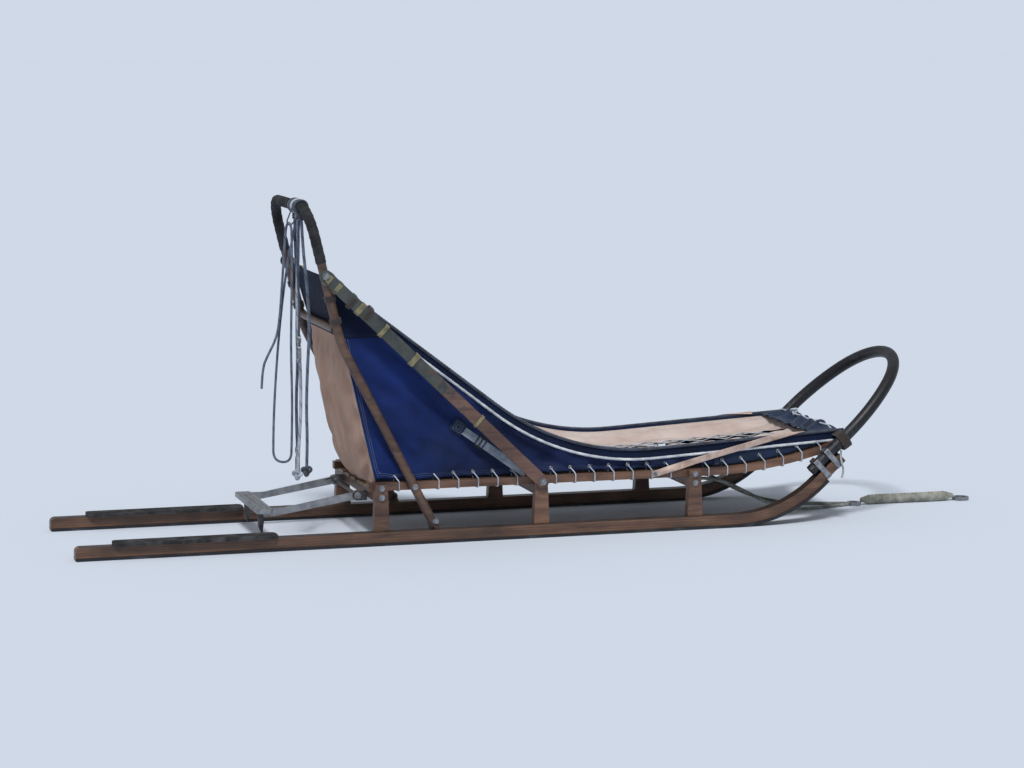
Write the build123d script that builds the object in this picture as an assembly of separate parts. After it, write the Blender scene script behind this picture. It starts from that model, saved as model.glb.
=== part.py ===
from build123d import *
import os
from math import asin, atan2, cos, degrees, pi, radians, sin, sqrt, tan

# A touring dog sled: two bent laminated runners with plastic shoes, short stanchions that carry a slatted bed,
# a leaning driving bow at the back, two diagonal side braces, a brush bow at the nose, a cargo bag hung in the
# frame, a foot brake between the runner tails, and the ropes that hang from the bow and lie before the nose.
# Millimetres. +X is the way it travels, +Y its left, +Z up, and z = 0 is the snow under the shoes.
# Places along the sled are x, heights are z, and a piece's left and right copies are mirrored in y = 0.

# Clearances
seat_gap = 0.3            # a piece that only lies against another, fabric or round
pin_gap = 0.08            # a bore that turns on its pin
fixed_bore_gap = 0.1      # a bore that holds a pin still
cut_past = 1.0            # how far a cut runs past the faces it opens

# Runners, shoes and foot pads
tail_x = -1265.0          # back ends of the runners
bend_x = 658.0            # where the flat sole ends and the bend starts
sole_bend_radius = 400.0
tip_angle = 43.0          # slope of the runner tips and of the brush bow
runner_tip_length = 100.0  # straight stretch of wood past the bend
shoe_tip_length = 22.0
shoe_thick = 8.0
shoe_width = 44.0
runner_thick = 30.0
runner_width = 34.0
runner_y = 245.0          # middle of each runner
tail_round = 14.0
pad_front_x = -700.0
pad_length = 460.0
pad_width = 62.0
pad_thick = 9.0
pad_grooves = 5
pad_groove_width = 4.0
pad_groove_depth = 3.0

# Stanchions and crosspieces
cross_top_z = 150.0       # the bed lies on this level
cross_thick = 30.0
cross_width = 38.0
stanchion_thick = 26.0
stanchion_foot = 46.0
stanchion_head = 34.0
rear_x = -400.0
mid_x = 70.0
front_x = 535.0

# Bed: side rails and slats share one upward curve towards the nose
rail_width = 24.0
rail_thick = 22.0
rail_back_x = -432.0
rail_front_x = 1012.0     # the bed's and the bag's front ends follow from it
bed_bend_x = 585.0
bed_bend_radius = 1270.0
slat_count = 5
slat_width = 48.0
slat_thick = 7.0
slat_back_x = -424.0
slat_front_x = rail_front_x - 27.0
nose_bar_diameter = 22.0
nose_bar_x = rail_front_x - 47.0

# Driving bow: one bent bar, foot on a runner, knee, top corner and across
bow_bar_diameter = 26.0
bow_foot_x = -240.0
knee_z = 570.0
lower_lean = 27.0         # degrees back from upright, below the knee
upper_lean = 13.5
bow_top_z = 950.0
knee_radius = 260.0
corner_radius = 80.0
grip_thick = 2.2
grip_leg = 150.0          # how far the wrapping runs down each leg, below the bow's top
crossbar_z = 610.0
crossbar_diameter = 22.0

# Side braces
brace_width = 35.0
brace_thick = 12.0
brace_top_z = 765.0

# Brush bow
brush_diameter = 35.0
brush_leg_back = 95.0     # how far each leg runs back along its runner tip
brush_half_width = 245.0
brush_leg_front = 67.0    # how far each leg runs on, straight, past the runner tip
brush_rise = 297.0        # from there to the crown, along the slope
brush_side_radius = 360.0
clamp_thick = 1.6
clamp_length = 16.0
clamp_corner = 1.0        # inner corners of a strap
clamp_places = (24.0, 68.0)  # behind the runner tip

# Cargo bag
cloth = 3.0
bag_half_width = 213.0
hem_handle = (-553.0, 762.0)   # x, z of the hem at the driving bow
hem_corner = (155.0, 222.0)
hem_nose = (rail_front_x - 4.0, 268.0)
hem_radius = 720.0
hem_rope_diameter = 9.0
bag_back_low_x = -410.0
nose_start_x = 605.0
bag_front_x = rail_front_x - 12.0
nose_lip = 14.0           # solid front edge of the nose
flap_back_x = -215.0
flap_front_x = rail_front_x - 72.0
flap_drop = 18.0          # how much lower a flap's free edge hangs than its hem
flap_below_hem = 10.0
flap_slit = 26.0          # half the gap between the two flaps

# Foot brake
brake_pin_diameter = 10.0
brake_pin_x = -446.0
brake_pin_z = 128.0
lug_y = 150.0
lug_thick = 6.0
arm_thick = 8.0
arm_height = 22.0
boss_radius = 14.0
brake_bar_x = -716.0
brake_bar_z = 96.0
brake_bar_width = 46.0
brake_bar_thick = 12.0
brake_bar_length = 330.0
claw_width = 14.0
claw_tip_z = 24.0
claw_y = 96.0
spring_wall = 3.0
spring_length = 34.0
brake_side_gap = 1.0      # between a lug and the arm beside it
pin_end = 4.0             # how far the pin stands out past each lug
ridge_radius = 3.0        # grip ridges on the brake bar
ridge_places = (-14.0, 0.0, 14.0)
ridge_inset = 14.0
arm_toe = 30.0            # level lower edge of an arm, from the middle of the bar
arm_shoulder = 60.0       # where an arm's upper edge starts to rise to its boss
claw_heel = 6.0           # how much a claw widens forward at its top
claw_point = 3.0          # width of its point
claw_taper = 20.0         # height of the stretch that narrows to the point
spring_end_gap = 0.5

# Ropes and what is on them
bridle_diameter = 10.0
shock_diameter = 30.0
line_diameter = 9.0
thin_line_diameter = 7.0
line_ring_width = 12.0
line_ring_wall = 4.0
ring_bore = 32.0
ring_wall = 10.0
ring_thick = 10.0
snap_length = 78.0
snap_width = 24.0
snap_wall = 6.0
snap_gate = 1.2
snap_thick = 9.0
eye_length = 9.0
eye_y = 120.0
eye_z = 128.0
bridle_ring_x = 1136.0
bridle_ring_bore = 24.0
tow_ring_x = 1488.0

# Values that follow from the sizes above
sides = (("left", 1), ("right", -1))
runner_low_z = shoe_thick
runner_top_z = shoe_thick + runner_thick
clamp_room = max(runner_width, brush_diameter) / 2 + seat_gap + clamp_thick
frame_y = runner_y - clamp_room - seat_gap         # inner faces of the stanchions, outer faces of the rails
rail_inner_y = frame_y - rail_width
rail_y = frame_y - rail_width / 2
bow_y = frame_y + bow_bar_diameter / 2
leg_outer_y = frame_y + max(stanchion_thick, bow_bar_diameter)
bow_radius = bow_bar_diameter / 2
grip_radius = bow_radius + seat_gap + grip_thick
knee_x = bow_foot_x - (knee_z - runner_top_z) * tan(radians(lower_lean))
bow_top_x = knee_x - (bow_top_z - knee_z) * tan(radians(upper_lean))
slope = (cos(radians(tip_angle)), sin(radians(tip_angle)))


def upper_leg_x(z):
    """x of the driving bow's leg above its knee."""
    return knee_x - (z - knee_z) * tan(radians(upper_lean))


def lower_leg_x(z):
    """x of the driving bow's leg below its knee."""
    return bow_foot_x - (z - runner_top_z) * tan(radians(lower_lean))


bag_back_high_x = upper_leg_x(crossbar_z) + crossbar_diameter / 2 + 2 * seat_gap


def side_plate(outline, y, thick):
    """A plate that stands in the X-Z plane: outline in x and z, its middle at y."""
    flat = extrude(Plane.XZ * outline, amount=thick / 2, both=True)
    return Pos(0, y, 0) * flat


def cross_box(x, z_low, z_high, width, y_low, y_high):
    """A straight-sided block by its middle x and its heights and widths."""
    size = Box(width, y_high - y_low, z_high - z_low)
    return Pos(x, (y_low + y_high) / 2, (z_low + z_high) / 2) * size


def rod_across(x, z, radius, y_low, y_high):
    """A round bar along Y."""
    bar = Rot(90, 0, 0) * Cylinder(radius, y_high - y_low)
    return Pos(x, (y_low + y_high) / 2, z) * bar


def tube(path, radius):
    """A round solid along a path."""
    ring = Plane(path @ 0, z_dir=path % 0) * Circle(radius)
    return sweep(ring, path=path)


def runner_edges(height, back_x, tip_length):
    """The line at a height over the sole: flat, bent up and straight to the tip."""
    radius = sole_bend_radius - height
    flat = Line((back_x, height), (bend_x, height))
    bend = CenterArc((bend_x, sole_bend_radius), radius, -90, tip_angle)
    end = bend @ 1
    tip = Line(end, (end.X + tip_length * slope[0], end.Y + tip_length * slope[1]))
    return [flat, bend, tip]


def runner_strip(low, high, back_x, tip_length):
    """Side outline between two heights over the sole."""
    lower = runner_edges(low, back_x, tip_length)
    upper = runner_edges(high, back_x, tip_length)
    ends = [Line(lower[0] @ 0, upper[0] @ 0), Line(lower[-1] @ 1, upper[-1] @ 1)]
    return make_face(lower + upper + ends)


def runner_tip(height):
    """x and z of the wooden tip at a height over the sole."""
    end = runner_edges(height, tail_x, runner_tip_length)[-1] @ 1
    return end.X, end.Y


def bed_point(height, x):
    """The bed's curve at a height over the crosspieces, where its foot is at x."""
    if x <= bed_bend_x:
        return x, cross_top_z + height
    turn = asin((x - bed_bend_x) / bed_bend_radius)
    radius = bed_bend_radius - height
    return bed_bend_x + radius * sin(turn), cross_top_z + bed_bend_radius - radius * cos(turn)


def bed_edges(height, back_x, front_x):
    """The bed's line at a height over the crosspieces."""
    if front_x <= bed_bend_x:
        return [Line((back_x, cross_top_z + height), (front_x, cross_top_z + height))]
    turn = degrees(asin((front_x - bed_bend_x) / bed_bend_radius))
    start = max(0.0, degrees(asin(max(0.0, back_x - bed_bend_x) / bed_bend_radius)))
    radius = bed_bend_radius - height
    centre = (bed_bend_x, cross_top_z + bed_bend_radius)
    bend = CenterArc(centre, radius, -90 + start, turn - start)
    if back_x >= bed_bend_x:
        return [bend]
    return [Line((back_x, cross_top_z + height), (bed_bend_x, cross_top_z + height)), bend]


def bed_strip(low, high, back_x, front_x):
    """Side outline between two heights over the crosspieces."""
    lower = bed_edges(low, back_x, front_x)
    upper = bed_edges(high, back_x, front_x)
    ends = [Line(lower[0] @ 0, upper[0] @ 0), Line(lower[-1] @ 1, upper[-1] @ 1)]
    return make_face(lower + upper + ends)


def hem_path(drop=0.0):
    """The bag's top edge, a straight fall from the bow, a bend and a long run to the nose."""
    places = [(x, z - drop) for x, z in (hem_handle, hem_corner, hem_nose)]
    return FilletPolyline(*places, radius=hem_radius)


def window(x_low, x_high, z_low, z_high):
    """A rectangle in x and z, to cut outlines with."""
    return Pos((x_low + x_high) / 2, (z_low + z_high) / 2) * Rectangle(x_high - x_low, z_high - z_low)


def make_runner(y):
    """Laminated wood, rounded at the tail."""
    board = side_plate(runner_strip(runner_low_z, runner_top_z, tail_x, runner_tip_length), y, runner_width)
    tail_edge = board.edges().filter_by(Axis.Y).sort_by(Axis.X)[:2].sort_by(Axis.Z)[-1]
    return fillet(tail_edge, tail_round)


def make_shoe(y):
    """A plastic strip under the whole sole and round the bend."""
    strip = side_plate(runner_strip(0.0, shoe_thick, tail_x, shoe_tip_length), y, shoe_width)
    back_edge = strip.edges().filter_by(Axis.Y).sort_by(Axis.X)[:2].sort_by(Axis.Z)[0]
    return chamfer(back_edge, shoe_thick / 2)


def make_pad(y):
    """Rubber tread with lengthwise grooves, on the runner's tail."""
    middle_x = pad_front_x - pad_length / 2
    top_z = runner_top_z + pad_thick
    pad = cross_box(middle_x, runner_top_z, top_z, pad_length, y - pad_width / 2, y + pad_width / 2)
    pad = fillet(pad.edges().filter_by(Axis.Z), pad_width / 4)
    pitch = pad_width / (pad_grooves + 1)
    for number in range(pad_grooves):
        groove_y = y - pad_width / 2 + pitch * (number + 1)
        low = groove_y - pad_groove_width / 2
        high = groove_y + pad_groove_width / 2
        pad -= cross_box(middle_x, top_z - pad_groove_depth, top_z, pad_length, low, high)
    return pad


def make_stanchion(x, side):
    """A post on the runner, wide at its foot, its inner face against rail and crosspiece."""
    top_z = cross_top_z + rail_thick
    outline = Polyline(
        (x - stanchion_foot / 2, runner_top_z),
        (x + stanchion_foot / 2, runner_top_z),
        (x + stanchion_head / 2, top_z),
        (x - stanchion_head / 2, top_z),
        close=True,
    )
    post = side_plate(make_face(outline), side * (frame_y + stanchion_thick / 2), stanchion_thick)
    top_edges = post.edges().sort_by(Axis.Z)[-4:].filter_by(Axis.X)
    outer_edge = top_edges.sort_by(Axis.Y)[-1 if side > 0 else 0]
    return fillet(outer_edge, stanchion_thick / 4)


def make_crosspiece(x, half_length):
    """A bar across the sled under the bed, its lower edges rounded."""
    bar = cross_box(x, cross_top_z - cross_thick, cross_top_z, cross_width, -half_length, half_length)
    low_edges = bar.edges().filter_by(Axis.Y).sort_by(Axis.Z)[:2]
    return fillet(low_edges, cross_thick / 4)


def make_slats():
    """Lengthwise slats, evenly spread between the rails."""
    room = 2 * rail_inner_y
    gap = (room - slat_count * slat_width) / (slat_count + 1)
    slats = []
    for number in range(slat_count):
        middle = -rail_inner_y + gap + slat_width / 2 + number * (slat_width + gap)
        slats.append(side_plate(bed_strip(0.0, slat_thick, slat_back_x, slat_front_x), middle, slat_width))
    return Compound(slats)


def make_driving_bow():
    """One bar from runner to runner, its feet cut flat on the wood."""
    below = runner_top_z - bow_bar_diameter
    half = [(lower_leg_x(below), below), (knee_x, knee_z), (bow_top_x, bow_top_z)]
    left = [(x, bow_y, z) for x, z in half]
    right = [(x, -bow_y, z) for x, z in reversed(half)]
    path = FilletPolyline(*left, *right, radius=[knee_radius, corner_radius, corner_radius, knee_radius])
    bow = tube(path, bow_radius)
    room = 2 * bow_bar_diameter
    for side in (1, -1):
        bow -= Pos(bow_foot_x, side * bow_y, runner_top_z - room) * Box(4 * room, 2 * room, 2 * room)
    return bow


def make_grip():
    """The wrapped sleeve round the upper part of the driving bow."""
    low_z = bow_top_z - grip_leg
    half = [(upper_leg_x(low_z), low_z), (bow_top_x, bow_top_z)]
    left = [(x, bow_y, z) for x, z in half]
    right = [(x, -bow_y, z) for x, z in reversed(half)]
    path = FilletPolyline(*left, *right, radius=corner_radius)
    return tube(path, grip_radius) - tube(path, bow_radius + seat_gap)


def make_brace(side):
    """A flat slat with round ends, from the driving bow down to the middle stanchion."""
    low = (mid_x, cross_top_z + rail_thick / 2)
    high = (upper_leg_x(brace_top_z), brace_top_z)
    length = sqrt((high[0] - low[0]) ** 2 + (high[1] - low[1]) ** 2)
    tilt = degrees(atan2(high[1] - low[1], high[0] - low[0]))
    middle = Pos((low[0] + high[0]) / 2, (low[1] + high[1]) / 2)
    outline = middle * Rot(0, 0, tilt) * SlotCenterToCenter(length, brace_width)
    return side_plate(outline, side * (leg_outer_y + seat_gap + brace_thick / 2), brace_thick)


def brush_plane():
    """The sloping plane of the brush bow: its x is the sled's left, its y goes up the slope."""
    x, z = runner_tip(runner_top_z)
    lift = brush_diameter / 2 + seat_gap
    origin = (x - lift * slope[1], 0, z + lift * slope[0])
    return Plane(origin=origin, x_dir=(0, 1, 0), z_dir=(slope[1], 0, -slope[0]))


def make_brush_bow():
    """A tube bent as an arch of three arcs, with straight legs that lie on the runner tips."""
    half, base, rise, side_radius = brush_half_width, brush_leg_front, brush_rise, brush_side_radius
    inset = side_radius - half
    crown_radius = (side_radius ** 2 - inset ** 2 - rise ** 2) / (2 * (side_radius - rise))
    crown_y = rise - crown_radius
    turn = degrees(atan2(crown_y, inset))
    path = Wire([
        Line((half, -brush_leg_back), (half, base)),
        CenterArc((-inset, base), side_radius, 0, turn),
        CenterArc((0, base + crown_y), crown_radius, turn, 180 - 2 * turn),
        CenterArc((inset, base), side_radius, 180 - turn, turn),
        Line((-half, base), (-half, -brush_leg_back)),
    ])
    return tube(brush_plane() * path, brush_diameter / 2)


def make_bow_clamps():
    """Four straps, each round a runner tip and the brush bow's leg on it."""
    room_y = max(runner_width, brush_diameter) + 2 * seat_gap
    room_z = runner_thick + brush_diameter + 3 * seat_gap
    tip_x, tip_z = runner_tip(runner_low_z)
    straps = []
    for side in (1, -1):
        for back in clamp_places:
            middle = room_z / 2 - seat_gap
            x = tip_x - back * slope[0] - middle * slope[1]
            z = tip_z - back * slope[1] + middle * slope[0]
            across = Plane(origin=(x, side * runner_y, z), x_dir=(0, 1, 0), z_dir=(slope[0], 0, slope[1]))
            outer_corner = clamp_corner + clamp_thick
            outer = RectangleRounded(room_y + 2 * clamp_thick, room_z + 2 * clamp_thick, outer_corner)
            inner = RectangleRounded(room_y, room_z, clamp_corner)
            straps.append(extrude(across * (outer - inner), amount=clamp_length / 2, both=True))
    return Compound(straps)


def bag_outline():
    """The whole side of the bag: rail, nose, hem and the leaning back edge."""
    hem = hem_path()
    low = bed_edges(rail_thick + seat_gap, bag_back_low_x, bag_front_x)
    low_start = low[0] @ 0
    hood_top = hem @ 0
    back_mid = (bag_back_high_x, crossbar_z)
    return make_face(low + [
        Line(low[-1] @ 1, hem @ 1),
        hem,
        Line(hood_top, back_mid),
        Line(back_mid, low_start),
    ])


def make_bag_side(side):
    """The blue side cloth, from the back edge to the nose, under the hood."""
    cloth_face = bag_outline() & window(2 * hem_handle[0], nose_start_x - seat_gap, 0, crossbar_z - seat_gap)
    return side_plate(cloth_face, side * (bag_half_width - cloth / 2), cloth)


def make_bag_hood():
    """The dark top of the bag at the driving bow: two cheeks and the back between them."""
    face = bag_outline() & window(2 * hem_handle[0], nose_start_x, crossbar_z, bow_top_z)
    shell = side_plate(face, 0, 2 * bag_half_width)
    return shell - Pos(cloth, 0, 0) * side_plate(face, 0, 2 * (bag_half_width - cloth))


def rear_wall_x(z):
    """x of the bag's leaning back face."""
    low_z = cross_top_z + rail_thick + seat_gap
    return bag_back_low_x + (bag_back_high_x - bag_back_low_x) * (z - low_z) / (crossbar_z - low_z)


def make_bag_rear():
    """The pale back wall, from the bed up to the hood, narrower where it stands between the rails."""
    low_z = cross_top_z + slat_thick + seat_gap
    high_z = crossbar_z - seat_gap
    low_x, high_x = rear_wall_x(low_z), rear_wall_x(high_z)
    inner = [(low_x + cloth, low_z), (high_x + cloth, high_z)]
    outline = Polyline((low_x, low_z), *inner, (high_x, high_z), close=True)
    half = bag_half_width - cloth - seat_gap
    wall = side_plate(make_face(outline), 0, 2 * half)
    rail_top_z = cross_top_z + rail_thick + seat_gap
    low_half = rail_inner_y - seat_gap
    for low_y, high_y in ((low_half, half + cut_past), (-half - cut_past, -low_half)):
        wall -= cross_box(low_x, 0, rail_top_z, cross_width, low_y, high_y)
    return wall


def make_bag_floor():
    """The dark floor cloth, flat on the slats as far as the nose."""
    low = slat_thick + seat_gap
    half = rail_inner_y - seat_gap
    back_x = rear_wall_x(cross_top_z + low) + cloth + seat_gap
    outline = bed_strip(low, low + cloth, back_x, nose_start_x - seat_gap)
    return side_plate(outline, 0, 2 * half)


def make_bag_nose():
    """The dark nose: two cheeks on the rails, a floor between them and a low front lip."""
    face = bag_outline() & window(nose_start_x, 2 * bag_front_x, 0, bow_top_z)
    block = side_plate(face, 0, 2 * bag_half_width)
    inner_face = face & window(nose_start_x, bag_front_x - nose_lip, 0, bow_top_z)
    cheeks = block - side_plate(inner_face, 0, 2 * (bag_half_width - cloth))
    low = slat_thick + seat_gap
    floor_strip = bed_strip(low, low + cloth, nose_start_x, slat_front_x)
    return cheeks, side_plate(floor_strip, 0, 2 * (rail_inner_y - seat_gap))


def make_flap(side):
    """A top flap: its outer edge along the hem, its free edge a little lower, near the middle."""
    upper = hem_path(flap_below_hem)
    lower = hem_path(flap_below_hem + cloth)
    strip = make_face([upper, lower, Line(upper @ 0, lower @ 0), Line(upper @ 1, lower @ 1)])
    strip = strip & window(flap_back_x, flap_front_x, 0, bow_top_z)
    outer_y = side * (bag_half_width - cloth - seat_gap)
    outer = Pos(0, outer_y, 0) * (Plane.XZ * strip)
    inner = Pos(0, side * flap_slit, -flap_drop) * (Plane.XZ * strip)
    return loft([outer.face(), inner.face()], ruled=True)


def make_hem_rope(side):
    """The rope along the bag's hem, outside the cloth."""
    y = side * (bag_half_width + seat_gap + hem_rope_diameter / 2)
    return Pos(0, y, 0) * tube(Plane.XZ * hem_path(), hem_rope_diameter / 2)


def make_brake_lugs():
    """Two plates that carry the brake's pin, on the back of the rear crosspiece."""
    back_face_x = rear_x - cross_width / 2
    lugs = []
    for side in (1, -1):
        plate = window(brake_pin_x, back_face_x, brake_pin_z - boss_radius, brake_pin_z + boss_radius)
        plate += Pos(brake_pin_x, brake_pin_z) * Circle(boss_radius)
        plate -= Pos(brake_pin_x, brake_pin_z) * Circle(brake_pin_diameter / 2 + fixed_bore_gap)
        lugs.append(side_plate(plate, side * lug_y, lug_thick))
    return Compound(lugs)


def make_brake_frame():
    """Two arms with bored bosses and the ribbed bar that the foot presses."""
    y = lug_y - lug_thick / 2 - brake_side_gap - arm_thick / 2
    bar_low = brake_bar_z - brake_bar_thick / 2
    bar_top = brake_bar_z + brake_bar_thick / 2
    half = brake_bar_length / 2
    frame = cross_box(brake_bar_x, bar_low, bar_top, brake_bar_width, -half, half)
    frame = fillet(frame.edges().filter_by(Axis.Z), brake_bar_width / 4)
    for place in ridge_places:
        frame += rod_across(brake_bar_x + place, bar_top, ridge_radius, ridge_inset - half, half - ridge_inset)
    bore = brake_pin_diameter / 2 + pin_gap
    for side in (1, -1):
        outline = Polyline(
            (brake_bar_x, bar_top),
            (brake_bar_x, bar_low - arm_height / 2),
            (brake_bar_x + arm_toe, bar_low - arm_height / 2),
            (brake_pin_x, brake_pin_z - arm_height / 2),
            (brake_pin_x, brake_pin_z + arm_height / 2),
            (brake_bar_x + arm_shoulder, bar_top),
            close=True,
        )
        arm = make_face(outline) + Pos(brake_pin_x, brake_pin_z) * Circle(boss_radius)
        frame += side_plate(arm, side * y, arm_thick)
        frame -= rod_across(brake_pin_x, brake_pin_z, bore, side * y - arm_thick, side * y + arm_thick)
    return frame


def make_claws():
    """Two pointed steel claws under the brake bar."""
    top_z = brake_bar_z - brake_bar_thick / 2
    back_x = brake_bar_x - claw_width / 2
    fore_x = brake_bar_x + claw_width / 2
    claws = []
    for side in (1, -1):
        outline = Polyline(
            (back_x, top_z),
            (fore_x + claw_heel, top_z),
            (fore_x, claw_tip_z + claw_taper),
            (fore_x - claw_point, claw_tip_z),
            (fore_x - 2 * claw_point, claw_tip_z),
            (back_x, claw_tip_z + claw_taper),
            close=True,
        )
        claws.append(side_plate(make_face(outline), side * claw_y, claw_width))
    return Compound(claws)


def make_brake_springs():
    """Two coil springs on the pin, between the arms, as plain sleeves."""
    inner = brake_pin_diameter / 2 + fixed_bore_gap
    arm_inner_y = lug_y - lug_thick / 2 - brake_side_gap - arm_thick
    sleeves = []
    for side in (1, -1):
        near = side * (arm_inner_y - spring_end_gap)
        far = near - side * spring_length
        low, high = min(near, far), max(near, far)
        sleeve = rod_across(brake_pin_x, brake_pin_z, inner + spring_wall, low, high)
        sleeves.append(sleeve - rod_across(brake_pin_x, brake_pin_z, inner, low - cut_past, high + cut_past))
    return Compound(sleeves)


def cord_radii(points):
    """The arc at each inner point: 0.45 of its shorter run, over the tangent of half its turn."""
    places = [Vector(*point) for point in points]
    radii = []
    for before, here, after in zip(places, places[1:], places[2:]):
        first = here - before
        second = after - here
        turn = radians(first.get_angle(second))
        radii.append(0.45 * min(first.length, second.length) / tan(turn / 2))
    return radii


def make_cord(name, points, diameter):
    """A free rope's solid: straight runs joined by tangent arcs."""
    radii = cord_radii(points)
    path = FilletPolyline(*points, radius=radii)
    solid = tube(path, diameter / 2)
    share = solid.volume / (path.length * pi * diameter ** 2 / 4)
    print(name, "length", round(path.length), "least radius", round(min(radii)), "volume share", round(share, 4))
    return solid


def make_snap(x, y, z):
    """A snap hook that hangs from its rope at x, y, z: an eye, a neck and a long link with a gate gap."""
    eye_y = -snap_width / 2
    link_y = -snap_length + snap_width / 2
    eye = Pos(0, eye_y) * (Circle(snap_width / 2) - Circle(snap_width / 2 - snap_wall))
    link_length = snap_length / 3
    bore = snap_width - 2 * snap_wall
    ring = SlotCenterToCenter(link_length, snap_width) - SlotCenterToCenter(link_length, bore)
    link = Pos(0, link_y + link_length / 2) * Rot(0, 0, 90) * ring
    neck_low = link_y + link_length + snap_width / 2 - snap_wall / 2
    neck_high = eye_y - snap_width / 2 + snap_wall / 2
    neck = Pos(0, (neck_low + neck_high) / 2) * Rectangle(snap_wall, neck_high - neck_low)
    gate = Pos(snap_width / 2 - snap_wall / 2, link_y + link_length / 2) * Rectangle(2 * snap_wall, snap_gate)
    plane = Plane(origin=(x, y, z), x_dir=(0, 1, 0), z_dir=(1, 0, 0))
    return extrude(plane * (eye + link + neck - gate), amount=snap_thick / 2, both=True)


# Ropes: name, diameter and the points of its route
line_start_z = bow_top_z - grip_radius - 2 * seat_gap - line_ring_wall
eye_front_x = front_x + cross_width / 2 + eye_length + 2 * seat_gap
bridle_ring_radius = bridle_ring_bore / 2 + ring_wall
shock_start_x = bridle_ring_x + bridle_ring_radius + seat_gap
shock_end_x = tow_ring_x - ring_bore / 2 - ring_wall - seat_gap


def hanging(y, steps):
    """A line's route below its loop at y: each step is an x offset, y and how far it has dropped."""
    start = (bow_top_x, y, line_start_z)
    return [start] + [(bow_top_x + offset, step_y, line_start_z - drop) for offset, step_y, drop in steps]


cords = {
    "bridle_left": (bridle_diameter, [
        (eye_front_x, eye_y, eye_z), (640, 118, 124), (718, 112, 92), (795, 100, 47), (880, 80, 15),
        (965, 54, 6), (1042, 28, 5.3), (1114.8, 9.5, 5.1),
    ]),
    "bridle_right": (bridle_diameter, [
        (eye_front_x, -eye_y, eye_z), (642, -119, 125), (722, -112, 90), (798, -103, 47), (884, -82, 14),
        (965, -52, 6), (1045, -29, 5.3), (1114.8, -9.5, 5.1),
    ]),
    "shock_absorber": (shock_diameter, [
        (shock_start_x, 0, 15.2), (1262, 4, 15.3), (1366, -3, 15.2), (shock_end_x, 0, 15.2),
    ]),
    "line_a": (line_diameter, hanging(-70, [
        (-2, -72, 80), (6, -70, 200), (4, -60, 320), (9, -48, 435), (3, -42, 550), (5, -50, 668),
    ])),
    "line_b": (line_diameter, hanging(-104, [
        (3, -106, 85), (-6, -110, 208), (-4, -108, 330), (6, -98, 448), (8, -88, 564), (2, -84, 662),
        (-3, -86, 740),
    ])),
    "line_c": (line_diameter, hanging(-150, [
        (2, -153, 80), (10, -172, 195), (13, -190, 310), (4, -196, 425), (1, -190, 540), (5, -184, 640),
        (3, -178, 716),
    ])),
    "line_d": (thin_line_diameter, hanging(-128, [
        (-5, -129, 70), (-9, -136, 168), (-4, -140, 262), (-7, -137, 340),
    ])),
}
snap_lines = ("line_a", "line_d")


def make_line_rings():
    """The loops that hold the lines on the grip."""
    rings = []
    for name, (diameter, points) in cords.items():
        if not name.startswith("line"):
            continue
        x, y, z = points[0]
        low, high = y - line_ring_width / 2, y + line_ring_width / 2
        outer = grip_radius + seat_gap + line_ring_wall
        ring = rod_across(x, bow_top_z, outer, low, high)
        rings.append(ring - rod_across(x, bow_top_z, grip_radius + seat_gap, low - cut_past, high + cut_past))
    return Compound(rings)


def flat_ring(x, bore, wall, thick):
    """A forged ring that lies on the snow."""
    ring = Cylinder(bore / 2 + wall, thick) - Cylinder(bore / 2, thick + 2 * cut_past)
    return Pos(x, 0, thick / 2) * ring


def make_bridle_eyes():
    """Two short studs on the front of the front crosspiece, where the bridle is tied."""
    face_x = front_x + cross_width / 2
    eyes = []
    for side in (1, -1):
        stud = Rot(0, 90, 0) * Cylinder(bridle_diameter / 2, eye_length)
        eyes.append(Pos(face_x + eye_length / 2, side * eye_y, eye_z) * stud)
    return Compound(eyes)


pieces = {}
for name, side in sides:
    pieces["runner_" + name] = make_runner(side * runner_y)
    pieces["runner_shoe_" + name] = make_shoe(side * runner_y)
    pieces["foot_pad_" + name] = make_pad(side * runner_y)
    pieces["stanchion_rear_" + name] = make_stanchion(rear_x, side)
    pieces["stanchion_mid_" + name] = make_stanchion(mid_x, side)
    pieces["stanchion_front_" + name] = make_stanchion(front_x, side)
    rail_strip = bed_strip(0.0, rail_thick, rail_back_x, rail_front_x)
    pieces["bed_rail_" + name] = side_plate(rail_strip, side * rail_y, rail_width)
    pieces["side_brace_" + name] = make_brace(side)
    pieces["bag_side_" + name] = make_bag_side(side)
    pieces["bag_flap_" + name] = make_flap(side)
    pieces["hem_rope_" + name] = make_hem_rope(side)

pieces["crosspiece_rear"] = make_crosspiece(rear_x, frame_y)
pieces["crosspiece_mid"] = make_crosspiece(mid_x, frame_y)
pieces["crosspiece_front"] = make_crosspiece(front_x, frame_y)
bar_x, bar_z = bed_point(-nose_bar_diameter / 2 - seat_gap, nose_bar_x)
bar_half = frame_y - seat_gap
pieces["nose_bar"] = rod_across(bar_x, bar_z, nose_bar_diameter / 2, -bar_half, bar_half)
pieces["bed_slats"] = make_slats()
pieces["driving_bow"] = make_driving_bow()
pieces["driving_bow_grip"] = make_grip()
bar_half = bow_y - bow_radius - seat_gap
bar_x = upper_leg_x(crossbar_z)
pieces["bow_crossbar"] = rod_across(bar_x, crossbar_z, crossbar_diameter / 2, -bar_half, bar_half)
pieces["brush_bow"] = make_brush_bow()
pieces["brush_bow_clamps"] = make_bow_clamps()
pieces["bag_hood"] = make_bag_hood()
pieces["bag_rear"] = make_bag_rear()
pieces["bag_floor"] = make_bag_floor()
nose_cheeks, nose_floor = make_bag_nose()
pieces["bag_nose"] = nose_cheeks
pieces["bag_nose_floor"] = nose_floor
pieces["brake_lugs"] = make_brake_lugs()
pin_half = lug_y + lug_thick / 2 + pin_end
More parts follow.
